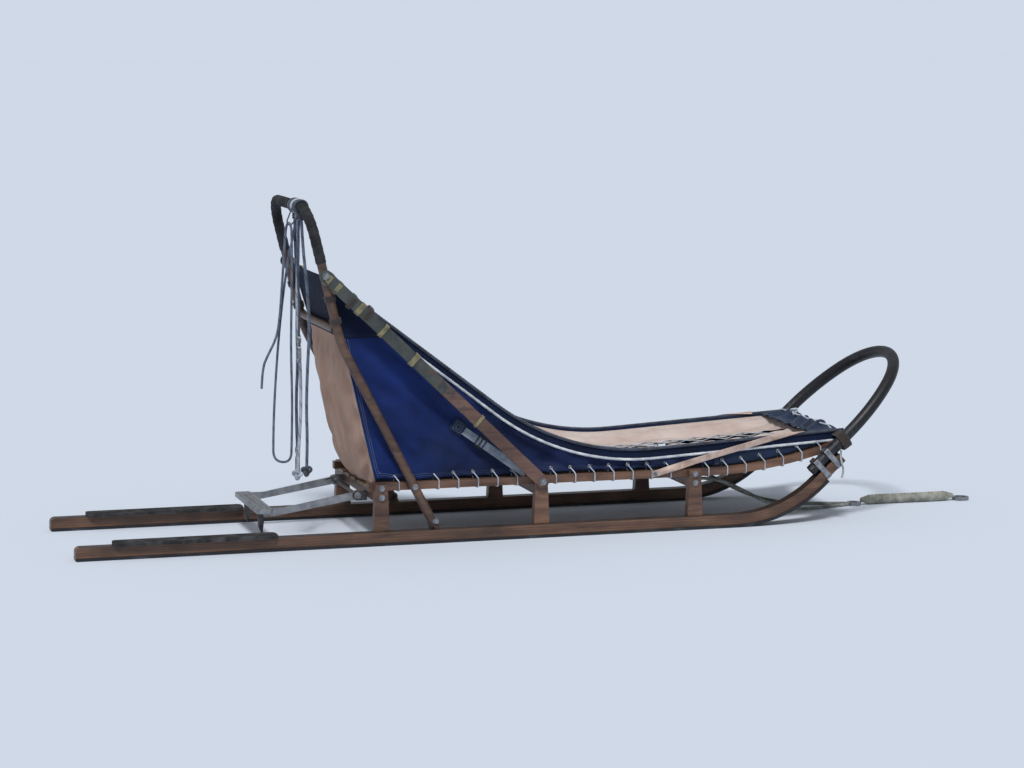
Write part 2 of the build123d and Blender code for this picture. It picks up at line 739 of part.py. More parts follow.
pieces["brake_pin"] = rod_across(brake_pin_x, brake_pin_z, brake_pin_diameter / 2, -pin_half, pin_half)
pieces["brake_springs"] = make_brake_springs()
pieces["brake_frame"] = make_brake_frame()
pieces["brake_claws"] = make_claws()
pieces["bridle_eyes"] = make_bridle_eyes()
pieces["bridle_ring"] = flat_ring(bridle_ring_x, bridle_ring_bore, ring_wall, ring_thick)
pieces["tow_ring"] = flat_ring(tow_ring_x, ring_bore, ring_wall, ring_thick)
pieces["line_rings"] = make_line_rings()
for name, (diameter, points) in cords.items():
    pieces[name] = make_cord(name, points, diameter)
for name in snap_lines:
    x, y, z = cords[name][1][-1]
    pieces[name + "_snap"] = make_snap(x, y, z - seat_gap)

os.makedirs("parts", exist_ok=True)
for name, piece in pieces.items():
    export_step(piece, "parts/" + name + ".step")
print(len(pieces), "nodes")
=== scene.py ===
# %% [markdown]
# A touring dog sled, dressed from its frame of plain solids. The frame gives every rigid piece at its
# real place and size, and this lesson adds what makes each one look real: wood grain, cloth, rope and
# metal. We start by loading the frame.

# %% Load the frame
import bpy
import bmesh
from math import cos, pi, radians, sin, sqrt, tan
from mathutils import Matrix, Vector, noise


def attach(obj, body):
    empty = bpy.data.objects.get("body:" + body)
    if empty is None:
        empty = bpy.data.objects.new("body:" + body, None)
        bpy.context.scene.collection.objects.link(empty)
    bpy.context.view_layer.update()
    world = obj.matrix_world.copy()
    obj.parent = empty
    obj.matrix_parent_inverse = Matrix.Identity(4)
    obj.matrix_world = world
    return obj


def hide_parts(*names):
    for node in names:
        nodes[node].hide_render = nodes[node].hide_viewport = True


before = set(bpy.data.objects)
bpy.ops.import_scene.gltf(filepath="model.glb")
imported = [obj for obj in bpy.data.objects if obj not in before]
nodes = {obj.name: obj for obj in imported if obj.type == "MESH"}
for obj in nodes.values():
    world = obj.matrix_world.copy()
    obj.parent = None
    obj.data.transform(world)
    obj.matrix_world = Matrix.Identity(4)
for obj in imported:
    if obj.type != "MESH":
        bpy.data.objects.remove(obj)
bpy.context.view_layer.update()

scene = bpy.context.scene
both_sides = (("left", 1), ("right", -1))


def show(name, data):
    """A new object in the scene."""
    made = bpy.data.objects.new(name, data)
    scene.collection.objects.link(made)
    return made


# %% [markdown]
# Camera first. The photograph was taken from behind the sled, on its right, from about a person's
# height, with the sled small in one corner. A long lens from that same spot keeps its perspective: the
# runners converge as they do there, and the sled now fills the picture. Turning the camera towards it
# changes no proportion.

# %% Camera
camera_place = Vector((-2.428, -8.455, 1.55))
look_at = Vector((0.055, 0.0, 0.41))
camera = show("camera", bpy.data.cameras.new("camera"))
camera.data.lens = 107
camera.location = camera_place
camera.rotation_euler = (look_at - camera_place).to_track_quat("-Z", "Y").to_euler()
scene.camera = camera
print("camera", round((look_at - camera_place).length, 2), "m away")

# %% [markdown]
# Materials and repeated shapes are both node trees, so three helpers serve the whole lesson. `put` adds
# a node and wires it in one line. `result` does that and hands back one output as a `Flow`, on which the
# usual signs work: each sign adds one Math node, and a formula reads as a formula. `split` takes a
# vector apart.

# %% Nodes written as formulas


class Flow:
    """An output in a node tree; each sign or step used on it adds one Math node."""

    def __init__(self, owner, socket):
        self.owner = owner
        self.socket = socket

    def step(self, operation, first, second=0.0):
        return result(self.owner, "ShaderNodeMath", {0: first, 1: second}, operation=operation)

    def __add__(self, other):
        return self.step("ADD", self, other)

    def __sub__(self, other):
        return self.step("SUBTRACT", self, other)

    def __rsub__(self, other):
        return self.step("SUBTRACT", other, self)

    def __mul__(self, other):
        return self.step("MULTIPLY", self, other)

    def __truediv__(self, other):
        return self.step("DIVIDE", self, other)

    def __lt__(self, other):
        return self.step("LESS_THAN", self, other)

    def __gt__(self, other):
        return self.step("GREATER_THAN", self, other)

    def __abs__(self):
        return self.step("ABSOLUTE", self)

    def larger(self, other):
        return self.step("MAXIMUM", self, other)

    def wave(self):
        return self.step("SINE", self)

    def fraction(self):
        return self.step("FRACT", self)


def put(owner, kind, inputs, **settings):
    """Adds a node to a material, a world or a tree; an input is a value or a Flow."""
    tree = getattr(owner, "node_tree", owner)
    added = tree.nodes.new(kind)
    for key, value in settings.items():
        setattr(added, key, value)
    for key, value in inputs.items():
        if isinstance(value, Flow):
            tree.links.new(value.socket, added.inputs[key])
        else:
            added.inputs[key].default_value = value
    return added


def result(owner, kind, inputs, output=0, **settings):
    """Adds a node and gives one of its outputs."""
    return Flow(owner, put(owner, kind, inputs, **settings).outputs[output])


def split(owner, vector):
    """The x, y and z of a vector."""
    return [Flow(owner, part) for part in put(owner, "ShaderNodeSeparateXYZ", {0: vector}).outputs]


print("node helpers ready")

# %% [markdown]
# Every material starts as `finish`, which sets plain values, and is then driven by noise: `mottle` makes
# it, `spread` turns it into a colour between two paints, `roughen` into wear and `emboss` into relief.
# Colours are written as the 0 to 255 values that a paint chart gives.

# %% Material helpers


def paint(red, green, blue):
    """A chart colour as the linear light that Blender works in."""
    shares = (red / 255, green / 255, blue / 255)
    return (*[v / 12.92 if v < 0.0405 else ((v + 0.055) / 1.055) ** 2.4 for v in shares], 1.0)


def finish(name, colour, roughness=0.6, **sockets):
    """A material whose plain values are set on the shader's own sockets."""
    made = bpy.data.materials.new(name)
    made.use_nodes = True
    shader = made.node_tree.nodes["Principled BSDF"]
    shader.inputs["Base Color"].default_value = colour
    shader.inputs["Roughness"].default_value = roughness
    for socket, value in sockets.items():
        shader.inputs[socket.replace("_", " ")].default_value = value
    return made


def drive(made, name, flow):
    """Wires a flow into one of the shader's inputs."""
    made.node_tree.links.new(flow.socket, made.node_tree.nodes["Principled BSDF"].inputs[name])


def wired(made, name):
    """What drives one of the shader's inputs so far."""
    links = made.node_tree.nodes["Principled BSDF"].inputs[name].links
    return Flow(made, links[0].from_socket) if links else None


def places(made, scale=(1, 1, 1), turn=(0, 0, 0), source="Object"):
    """Where a pattern looks up its place: the sled's own metres, or the piece's UV map."""
    found = result(made, "ShaderNodeTexCoord", {}, source)
    return result(made, "ShaderNodeMapping", {0: found, "Rotation": turn, "Scale": scale})


def mottle(made, scale, detail=4.0, roughness=0.55, distortion=0.0, where=None, kind="FBM"):
    """Cloudy noise, from 0 to 1."""
    values = {"Vector": where or places(made), "Scale": scale, "Detail": detail, "Roughness": roughness}
    return result(made, "ShaderNodeTexNoise", {**values, "Distortion": distortion}, "Fac", noise_type=kind)


def spread(made, grey, dark, light, low=0.3, high=0.7):
    """A colour between two paints, by a grey value."""
    ramp = put(made, "ShaderNodeValToRGB", {0: grey})
    for stop, place, colour in zip(ramp.color_ramp.elements, (low, high), (dark, light)):
        stop.position = place
        stop.color = colour
    return Flow(made, ramp.outputs[0])


def blend(made, share, first, second, kind="MIX"):
    """Two colours mixed by a grey share."""
    inputs = {"Factor": share, 6: first, 7: second}
    return result(made, "ShaderNodeMix", inputs, 2, data_type="RGBA", blend_type=kind)


def roughen(made, grey, low, high):
    """Drives the roughness between two values."""
    levels = {"Value": grey, "To Min": low, "To Max": high}
    drive(made, "Roughness", result(made, "ShaderNodeMapRange", levels))


def emboss(made, height, depth):
    """Adds relief of a depth in metres, over what relief the material has."""
    inputs = {"Height": height, "Distance": depth, "Strength": 1.0}
    before = wired(made, "Normal")
    if before:
        inputs["Normal"] = before
    drive(made, "Normal", result(made, "ShaderNodeBump", inputs))


def wear(material, *names):
    """Gives frame pieces a material."""
    for name in names:
        mesh = nodes[name].data
        mesh.materials.clear()
        mesh.materials.append(material)


print("material helpers ready")

# %% [markdown]
# Light next. One broad sun on the camera's side gives the form its light and dark sides, and being far
# away it lights the whole floor alike. An even pale world opens the shadows. Standard view keeps a
# colour about as it is written, so the two are set for a card that faces the sun to come out as bright
# as it is painted. The floor is one pale sheet, which is stage and not part of the sled.

# %% Lamps, world and floor
sun = bpy.data.lights.new("sun", "SUN")
sun.energy = 2.2
sun.angle = radians(12)
show("sun", sun).rotation_euler = Vector((0.25, 0.60, -1.0)).to_track_quat("-Z", "Y").to_euler()

world = bpy.data.worlds.new("studio")
scene.world = world
world.use_nodes = True
sky = world.node_tree.nodes["Background"]
sky.inputs["Color"].default_value = (0.90, 0.94, 1.0, 1)
sky.inputs["Strength"].default_value = 0.42
seen = result(world, "ShaderNodeLightPath", {}, "Is Camera Ray")
backdrop = result(world, "ShaderNodeBackground", {"Color": (0.624, 0.694, 0.799, 1)})
chosen = result(world, "ShaderNodeMixShader", {0: seen, 1: Flow(world, sky.outputs[0]), 2: backdrop})
world.node_tree.links.new(chosen.socket, world.node_tree.nodes["World Output"].inputs["Surface"])

reach = 60.0
floor_mesh = bpy.data.meshes.new("floor")
floor_mesh.from_pydata([(-reach, -reach, 0), (reach, -reach, 0), (reach, reach, 0), (-reach, reach, 0)], [],
                       [(0, 1, 2, 3)])
floor_mesh.materials.append(finish("floor_paint", paint(212, 220, 232), 0.95))
show("floor", floor_mesh)
scene.view_settings.view_transform = "Standard"
print("stage set")

# %% [markdown]
# Now the ropes, since a rope's route is a fixed thing: it is so long, leaves the sled at one place, and
# then hangs or lies by its weight. Each is one smooth spline through given control points. The
# points are written in millimetres and used in metres. Order three keeps the line close to its points.

# %% Rope routes
loop_top = 0.9299         # where a line leaves its loop on the driving bow
loop_x = -0.6023


def hanging(y, steps):
    """A line's route below its loop: each step is an x offset, y and its drop."""
    first = (loop_x, y / 1000, loop_top)
    return [first] + [(loop_x + dx / 1000, dy / 1000, loop_top - drop / 1000) for dx, dy, drop in steps]


def metres(route):
    """A route written in millimetres."""
    return [(x / 1000, y / 1000, z / 1000) for x, y, z in route]


routes = {
    "bridle_left": metres([
        (563.6, 120, 128), (640, 118, 124), (718, 112, 92), (795, 100, 47), (880, 80, 15), (965, 54, 6),
        (1042, 28, 5.3), (1114.8, 9.5, 5.1),
    ]),
    "bridle_right": metres([
        (563.6, -120, 128), (642, -119, 125), (722, -112, 90), (798, -103, 47), (884, -82, 14),
        (965, -52, 6), (1045, -29, 5.3), (1114.8, -9.5, 5.1),
    ]),
    "shock_absorber": metres([(1158.3, 0, 15.2), (1262, 4, 15.3), (1366, -3, 15.2), (1461.7, 0, 15.2)]),
    "line_a": hanging(-70, [
        (-2, -72, 80), (6, -70, 200), (4, -60, 320), (9, -48, 435), (3, -42, 550), (5, -50, 668),
    ]),
    "line_b": hanging(-104, [
        (3, -106, 85), (-6, -110, 208), (-4, -108, 330), (6, -98, 448), (8, -88, 564), (2, -84, 662),
        (-3, -86, 740),
    ]),
    "line_c": hanging(-150, [
        (2, -153, 80), (10, -172, 195), (13, -190, 310), (4, -196, 425), (1, -190, 540), (5, -184, 640),
        (3, -178, 716),
    ]),
    "line_d": hanging(-128, [(-5, -129, 70), (-9, -136, 168), (-4, -140, 262), (-7, -137, 340)]),
    "spare_line": hanging(-87, [
        (-6, -87, 50), (-20, -84, 110), (-36, -80, 210), (-50, -78, 330), (-61, -80, 450), (-69, -84, 560),
        (-73, -90, 640), (-74, -92, 702), (-32, -136, 702), (-30, -137, 640), (-28, -140, 520),
        (-32, -146, 380), (-30, -150, 250), (-27, -150, 150), (-27, -147, 90), (-27, -147, 26),
        (-29, -87, 26), (-34, -86, 90), (-44, -92, 200), (-52, -97, 290), (-62, -99, 350), (-90, -104, 400),
        (-106, -108, 434), (-109, -109, 492),
    ]),
    "nose_tail_left": metres([(984, 262, 214), (981, 268, 192), (985, 270, 168), (979, 268, 146)]),
    "nose_tail_right": metres([
        (984, -262, 214), (979, -267, 196), (984, -271, 172), (990, -268, 150), (985, -266, 132),
    ]),
}

print(len(routes), "routes drawn up")

# %% Splines through the routes


def spline_of(name, route, thickness=0.0):
    """A smooth open curve with the route as its control points."""
    curve = bpy.data.curves.new(name, "CURVE")
    curve.dimensions = "3D"
    curve.resolution_u = 10
    curve.bevel_depth = thickness / 2
    curve.bevel_resolution = 4
    curve.use_fill_caps = True
    spline = curve.splines.new("NURBS")
    spline.points.add(len(route) - 1)
    for point, place in zip(spline.points, route):
        point.co = (*place, 1.0)
    spline.order_u = 3
    spline.use_endpoint_u = True
    return show(name, curve)


def as_mesh(carrier):
    """The evaluated shape of an object as a plain mesh."""
    bpy.context.view_layer.update()
    return bpy.data.meshes.new_from_object(carrier.evaluated_get(bpy.context.evaluated_depsgraph_get()))


def followed(route):
    """Points along the route's own smooth spline."""
    guide = spline_of("guide", route)
    along = [vertex.co.copy() for vertex in as_mesh(guide).vertices]
    bpy.data.objects.remove(guide)
    return along


def length_of(points):
    """Length of a line through points."""
    return sum((after - before).length for before, after in zip(points, points[1:]))


for name, route in routes.items():
    print(name, round(length_of(followed(route)), 3), "m")

# %% [markdown]
# A laid rope is three strands twisted round each other. Modelling each strand works, but a quicker way
# gives the same outline: sweep one three-lobed profile along the route and turn it as it goes. Geometry
# Nodes do this for every rope and wrapped sleeve here. The tree takes its sizes by name, so one tree
# serves a thick hem rope and a thin lashing cord.

# %% Opening and closing a tree


def new_tree(name, **sizes):
    """An empty tree with geometry in and out, and its named sizes; gives the tree and its inputs."""
    tree = bpy.data.node_groups.new(name, "GeometryNodeTree")
    tree.interface.new_socket("Geometry", in_out="INPUT", socket_type="NodeSocketGeometry")
    tree.interface.new_socket("Geometry", in_out="OUTPUT", socket_type="NodeSocketGeometry")
    for label, kind in (*sizes.items(), ("Finish", "Material")):
        tree.interface.new_socket(label, in_out="INPUT", socket_type="NodeSocket" + kind)
    sockets = put(tree, "NodeGroupInput", {}).outputs
    return tree, {socket.name: Flow(tree, socket) for socket in sockets if socket.name}


def close_tree(tree, given, geometry):
    """Ends a tree: instances made real, smooth faces and the finish."""
    real = result(tree, "GeometryNodeRealizeInstances", {0: geometry})
    smooth = result(tree, "GeometryNodeSetShadeSmooth", {"Geometry": real})
    done = result(tree, "GeometryNodeSetMaterial", {"Geometry": smooth, "Material": given["Finish"]})
    tree.links.new(done.socket, put(tree, "NodeGroupOutput", {}).inputs[0])


def swept(tree, curve, profile):
    """A profile swept along curves, with closed ends."""
    inputs = {"Curve": curve, "Profile Curve": profile, "Fill Caps": True}
    return result(tree, "GeometryNodeCurveToMesh", inputs)


print("tree helpers ready")

# %% From carriers to pieces


def grow(carrier, tree, material, **sizes):
    """Runs a tree on a carrier, and returns the result as a plain mesh object."""
    name = carrier.name
    modifier = carrier.modifiers.new(tree.name, "NODES")
    modifier.node_group = tree
    sizes["Finish"] = material
    for item in tree.interface.items_tree:
        if item.name in sizes and item.in_out == "INPUT":
            modifier[item.identifier] = sizes[item.name]
    mesh = as_mesh(carrier)
    bpy.data.objects.remove(carrier)
    mesh.materials.clear()
    mesh.materials.append(material)
    return show(name, mesh)


def solid_of(name, body, material):
    """A bmesh as an object of one material."""
    mesh = bpy.data.meshes.new(name)
    body.to_mesh(mesh)
    body.free()
    mesh.materials.append(material)
    return show(name, mesh)


def merged(name, parts):
    """Several mesh objects of one material as one object."""
    whole = bmesh.new()
    for part in parts:
        whole.from_mesh(part.data)
    material = parts[0].data.materials[0]
    for part in parts:
        bpy.data.objects.remove(part)
    return solid_of(name, whole, material)


def ride(slot_name, *pieces):
    """Sets pieces on the sled's body; slot_name is not used."""
    for piece in pieces:
        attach(piece, "sled")


print("piece helpers ready")

# %% Laid rope and wrapped sleeve


def twisted_tree(name, wrapped=False):
    """A tree that sweeps a lobed or a wrapped profile along a curve and turns it as it goes."""
    tree, given = new_tree(name, Diameter="Float", Pitch="Float", Strands="Float", Depth="Float")
    steps = {"Curve": given["Geometry"], "Length": given["Pitch"] / 14.0}
    fine = result(tree, "GeometryNodeResampleCurve", steps, mode="LENGTH")
    turn = result(tree, "GeometryNodeSplineParameter", {}, "Length") / given["Pitch"] * (2 * pi)
    tilted = result(tree, "GeometryNodeSetCurveTilt", {"Curve": fine, "Tilt": turn})
    round_one = {"Resolution": 21, "Radius": given["Diameter"] * 0.5}
    ring = result(tree, "GeometryNodeCurvePrimitiveCircle", round_one)
    here = result(tree, "GeometryNodeInputPosition", {})
    x, y, _ = split(tree, here)
    angle = x.step("ARCTAN2", y, x)
    if wrapped:
        share = angle / (2 * pi) + 0.5
    else:
        share = 1.0 - abs(angle.step("COSINE", angle * 0.5 * given["Strands"]))
    scaled = {0: here, "Scale": 1.0 - share * given["Depth"]}
    moved = result(tree, "ShaderNodeVectorMath", scaled, operation="SCALE")
    profile = result(tree, "GeometryNodeSetPosition", {"Geometry": ring, "Position": moved})
    close_tree(tree, given, swept(tree, tilted, profile))
    return tree


rope_tree = twisted_tree("laid_rope")
sleeve_tree = twisted_tree("wrapped_sleeve", wrapped=True)
print("trees", rope_tree.name, sleeve_tree.name)

# %% [markdown]
# Rope finishes. Polyester rope is neither flat nor glossy: fine fibres break up its highlight, and its
# lays hold grime. Fibre noise drives the colour and a shallow relief. The braided lines keep their
# bevelled curve, and their plait is relief on the curve's own UV map, which runs once round the rope and
# once along it.

# %% Rope finishes


def fibre(name, dark, light, roughness=0.75):
    """Twisted yarn: streaks of two colours with fine relief."""
    made = finish(name, light, roughness, Sheen_Weight=0.25)
    yarn = mottle(made, 900.0, 2.0)
    grime = mottle(made, 38.0, 3.0)
    drive(made, "Base Color", spread(made, grime * 0.6 + yarn * 0.4, dark, light, 0.36, 0.62))
    emboss(made, yarn, 0.0005)
    return made


def plait(name, dark, light, length, diameter):
    """A braid that follows a bevelled curve: two sets of yarns that cross, with a fleck of the dark one."""
    made = finish(name, light, 0.7, Sheen_Weight=0.25)
    yarn_pitch = 1.5 * diameter
    yarns = (2 * pi * length / yarn_pitch, 2 * pi * 4, 1)
    along, round_it, _ = split(made, places(made, yarns, source="UV"))
    left = along + round_it
    right = along - round_it
    fleck = (left * 0.25).wave() > 0.8
    half_dark = tuple(0.6 * a + 0.4 * b for a, b in zip(light, dark))
    base = spread(made, mottle(made, 30.0), half_dark, light, 0.35, 0.65)
    drive(made, "Base Color", blend(made, fleck * 0.7, base, dark))
    emboss(made, left.wave().larger(right.wave()), diameter * 0.05)
    return made


rope_dark = fibre("rope_dark", paint(30, 34, 46), paint(72, 80, 98))
rope_bridle = fibre("rope_bridle", paint(62, 65, 64), paint(150, 154, 146))
lash_dark = fibre("lash_dark", paint(24, 20, 22), paint(66, 52, 48))
lash_pale = fibre("lash_pale", paint(88, 84, 64), paint(154, 146, 112))
lace_pale = fibre("lace_pale", paint(128, 140, 158), paint(196, 204, 214))
webbing = fibre("webbing", paint(100, 101, 94), paint(168, 168, 156), 0.85)
print("rope finishes made")

# %% [markdown]
# The lines on the bow are plaited and thinner, and stay bevelled curves. The shock absorber is an
# elastic core in tubular webbing, which gathers into small rolls when it is slack.

# %% Bridle


def lay_cord(piece, name, slot_name, with_pieces=()):
    """Sets a rope on the sled's body; where the frame has a solid for it, the rope takes that solid's
    place. with_pieces is not used.
    """
    route = followed(routes[name])
    ride(slot_name, piece)
    if name in nodes:
        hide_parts(name)
    round(length_of(route), 3)


for side, sign in both_sides:
    name = "bridle_" + side
    leg = grow(spline_of("bridle_leg_" + side, routes[name]), rope_tree, rope_bridle,
               Diameter=0.0105, Pitch=0.034, Strands=3.0, Depth=0.24)
    ring = [nodes["bridle_ring"]] if side == "left" else []
    lay_cord(leg, name, "bridle_rope", ring)

print("bridle laid")

# %% Shock absorber


def spot_at(along, distance):
    """The place and the direction at a distance along a line of points."""
    walked = 0.0
    for before, after in zip(along, along[1:]):
        run = (after - before).length
        if walked + run >= distance - 1e-6:
            break
        walked += run
    return before.lerp(after, (distance - walked) / run), (after - before).normalized()


def sleeve_of(name, route, diameter, roll, depth, material):
    """A webbing sleeve along a route, gathered into rolls that are never quite alike."""
    along = followed(route)
    total = length_of(along)
    rings = int(total / 0.0022)
    spokes = 20
    body = bmesh.new()
    rows = []
    for step in range(rings + 1):
        share = step / rings
        walked = share * total
        centre, ahead = spot_at(along, walked)
        aside = ahead.cross(Vector((0, 0, 1))).normalized()
        up = aside.cross(ahead)
        swell = abs(sin(pi * (walked / roll + 0.5 * noise.noise(Vector((walked * 30, 2, 5))))))
        tight = min(1.0, 0.45 + 6 * min(share, 1 - share))
        radius = diameter / 2 * tight * (1 - depth + depth * swell)
        row = []
        for spoke in range(spokes):
            turn = 2 * pi * spoke / spokes
            dent = 1 + 0.03 * noise.noise(Vector((cos(turn) * 2, sin(turn) * 2, walked * 60)))
            low = max(-centre.z + 0.0006, radius * dent * sin(turn))
            row.append(body.verts.new(centre + aside * (radius * dent) * cos(turn) + up * low))
        rows.append(row)
    for first, second in zip(rows, rows[1:]):
        for spoke in range(spokes):
            after = (spoke + 1) % spokes
            body.faces.new((first[spoke], first[after], second[after], second[spoke]))
    body.faces.new(rows[0])
    body.faces.new(list(reversed(rows[-1])))
    bmesh.ops.recalc_face_normals(body, faces=body.faces)
    made = solid_of(name, body, material)
    made.data.shade_smooth()
    return made


shock = sleeve_of("shock_sleeve", routes["shock_absorber"], 0.030, 0.011, 0.13, webbing)
lay_cord(shock, "shock_absorber", "shock_webbing", [nodes["tow_ring"]])
print("shock absorber made")

# %% Lines from the driving bow
line_slots = {"line_a": "line_rope", "line_b": "line_rope_pale", "line_c": "line_rope",
              "line_d": "line_rope", "spare_line": "line_rope"}
lines = (                 # name, diameter, what is on its end, dark yarn, light yarn
    ("line_a", 0.009, "fitting", paint(28, 34, 50), paint(78, 92, 116)),
    ("line_b", 0.009, "knot", paint(110, 118, 136), paint(190, 198, 208)),
    ("line_c", 0.009, "knot", paint(34, 40, 56), paint(88, 102, 126)),
    ("line_d", 0.007, "fitting", paint(30, 36, 50), paint(64, 76, 98)),
    ("spare_line", 0.007, "bare", paint(38, 46, 62), paint(92, 106, 130)),
)
ropes = {}
for name, diameter, far_end, dark, light in lines:
    rope = spline_of(name + "_rope" if name in nodes else name, routes[name], diameter)
    rope_length = length_of(followed(routes[name]))
    rope.data.materials.append(plait(name + "_plait", dark, light, rope_length, diameter))
    ropes[name] = rope
    if far_end == "fitting":
        lay_cord(rope, name, line_slots[name], [nodes[name + "_snap"]])
print(len(ropes) + 3, "ropes laid, two of them to be knotted later")

# %% [markdown]
# The wooden frame is ash under worn varnish. Wood's pattern runs along the board, so each board's noise
# is stretched along its own direction: streaks a finger long, fine pores, and a broad drift in tone.
# Varnish makes it satin, and where boots and gloves rub, it goes dull and grey. One helper makes all of
# them, with the direction as a lean from the sled's length.

# %% Wood


def timber(name, dark, light, lean=0.0, roughness=0.45, along_y=False):
    """Varnished wood with its grain along X, leant up by so many degrees, or along Y."""
    made = finish(name, light, roughness, Coat_Weight=0.25, Coat_Roughness=0.35)
    turn = (0, 0, radians(90)) if along_y else (0, radians(lean), 0)
    streaks = mottle(made, 2.2, 6.0, 0.62, 0.6, places(made, (2.2, 26, 26), turn))
    pores = mottle(made, 3.0, 2.0, where=places(made, (14, 420, 420), turn))
    base = spread(made, streaks * 0.72 + mottle(made, 3.5) * 0.28, dark, light, 0.36, 0.64)
    dirt = spread(made, mottle(made, 9.0, 6.0), (0.62, 0.60, 0.58, 1), (1, 1, 1, 1), 0.36, 0.58)
    drive(made, "Base Color", blend(made, 1.0, base, dirt, "MULTIPLY"))
    roughen(made, streaks, roughness - 0.08, roughness + 0.22)
    emboss(made, pores, 0.0004)
    emboss(made, streaks, 0.0006)
    return made


wood_low, wood_high = paint(66, 44, 34), paint(126, 92, 72)
wear(timber("rail_wood", wood_low, wood_high), "bed_rail_left", "bed_rail_right")
wear(timber("post_wood", wood_low, wood_high, lean=-90),
     *[f"stanchion_{place}_{side}" for place in ("rear", "mid", "front") for side, sign in both_sides])
wear(timber("cross_wood", wood_low, wood_high, along_y=True),
     "crosspiece_rear", "crosspiece_mid", "crosspiece_front", "bow_crossbar")
wear(timber("slat_wood", paint(112, 86, 62), paint(164, 136, 104)), "bed_slats")
wear(timber("bow_wood", paint(62, 42, 34), paint(112, 84, 68), lean=-112), "driving_bow")
print("boards grained")

# %% [markdown]
# A runner is laminated: thin boards glued round a mould, so the glue lines follow the bend. We work the
# height over the sole out in the shader. Before the bend it is z. In the bend it is the bend's radius
# less the distance from its centre, and past it the distance along one fixed direction. The largest of
# these serves all three.

# %% Runners
bend_centre = (0.658, 0.0, 0.400)
bend_radius = 0.400
tip_slope = radians(43)
layer = 0.0075
first_glue = 0.008        # height of the lowest glue line
clear_half = 0.44         # share of a layer that is clear wood, each way from its middle

runner_wood = timber("runner_wood", paint(70, 47, 36), paint(124, 90, 67))
offset = result(runner_wood, "ShaderNodeVectorMath", {0: places(runner_wood), 1: bend_centre},
                operation="SUBTRACT")
upright = result(runner_wood, "ShaderNodeVectorMath", {0: offset, 1: (1, 0, 1)}, operation="MULTIPLY")


def reach_along(x, z):
    """How far a place lies from the bend's centre along one direction."""
    return result(runner_wood, "ShaderNodeVectorMath", {0: upright, 1: (x, 0, z)}, "Value",
                  operation="DOT_PRODUCT")


away = result(runner_wood, "ShaderNodeVectorMath", {0: upright}, "Value", operation="LENGTH")
in_bend = (reach_along(1, 0) > 0.0) * (reach_along(cos(tip_slope), sin(tip_slope)) < 0.0)
straight = reach_along(0, -1).larger(reach_along(sin(tip_slope), -cos(tip_slope)))
height = bend_radius - (straight + in_bend * (away - straight))
clear = abs(((height - first_glue) / layer).fraction() - 0.5) < clear_half
plain = wired(runner_wood, "Base Color")
drive(runner_wood, "Base Color", blend(runner_wood, clear, paint(46, 32, 26), plain))
wear(runner_wood, "runner_left", "runner_right")
print("laminations", round(0.030 / layer), "layers")

# %% [markdown]
# The braces took paint: grey-green, scraped back to bare brown wood towards their low ends, where snow
# and brush pass. A mask that rises along the sled, broken up by noise, decides where paint is left.

# %% Painted braces
brace_wood = timber("brace_wood", paint(70, 48, 40), paint(124, 92, 80), lean=45, roughness=0.5)
chips = mottle(brace_wood, 6.0, 8.0, 0.7, where=places(brace_wood, (6, 20, 6), (0, radians(45), 0)))
forward = split(brace_wood, places(brace_wood))[0]
scraped = {"Value": forward * 1.6 + chips, "From Min": 0.12, "From Max": 0.22}
bare = result(brace_wood, "ShaderNodeMapRange", scraped)
coat = spread(brace_wood, mottle(brace_wood, 22.0, 6.0), paint(34, 40, 43), paint(70, 76, 71), 0.35, 0.65)
drive(brace_wood, "Base Color", blend(brace_wood, bare, coat, wired(brace_wood, "Base Color")))
emboss(brace_wood, bare, -0.0003)
wear(brace_wood, "side_brace_left", "side_brace_right")
print("braces painted")

# %% [markdown]
# Plastic, rubber and metal. The shoes and the brush bow are extruded plastic, scratched lengthwise and
# scuffed pale. Rubber is dull, with trodden-in dust. The brake's bar is sand-cast alloy and its claws
# are bare forged steel, dark in the hollows and bright where they rub.

# %% Plastic and rubber


def plastic(name, colour, scuff, stretch, roughness=0.4):
    """Moulded plastic with scratches along one direction and pale scuffs."""
    made = finish(name, colour, roughness, Specular_IOR_Level=0.45)
    scratches = mottle(made, 30.0, 6.0, 0.7, where=places(made, stretch))
    patches = mottle(made, 7.0, 6.0, 0.65)
    drive(made, "Base Color", spread(made, scratches * patches, colour, scuff, 0.27, 0.5))
    roughen(made, scratches, roughness - 0.1, roughness + 0.3)
    emboss(made, scratches, 0.0003)
    return made


def rubber(name, colour, dust):
    """Dull rubber with dust in it."""
    made = finish(name, colour, 0.85)
    grain = mottle(made, 400.0, 2.0)
    drive(made, "Base Color", spread(made, mottle(made, 24.0, 6.0), colour, dust, 0.4, 0.8))
    roughen(made, grain, 0.7, 0.95)
    emboss(made, grain, 0.0004)
    return made


shoe_plastic = plastic("shoe_plastic", paint(26, 28, 34), paint(92, 96, 104), (0.6, 14, 14))
brush_plastic = plastic("brush_plastic", paint(18, 20, 26), paint(74, 80, 90), (3, 3, 3), 0.36)
pad_rubber = rubber("pad_rubber", paint(26, 26, 28), paint(84, 84, 86))
wear(shoe_plastic, "runner_shoe_left", "runner_shoe_right")
wear(brush_plastic, "brush_bow")
wear(pad_rubber, "foot_pad_left", "foot_pad_right")
print("plastic and rubber made")

# %% Metals


def metal(name, colour, tarnish, roughness, grain, depth):
    """Worn metal: bright, with darker and duller stains."""
    made = finish(name, colour, roughness, Metallic=1.0)
    stains = mottle(made, grain, 7.0, 0.65)
    drive(made, "Base Color", spread(made, stains, tarnish, colour, 0.34, 0.6))
    roughen(made, mottle(made, grain * 4), roughness - 0.08, roughness + 0.2)
    emboss(made, stains, depth)
    return made


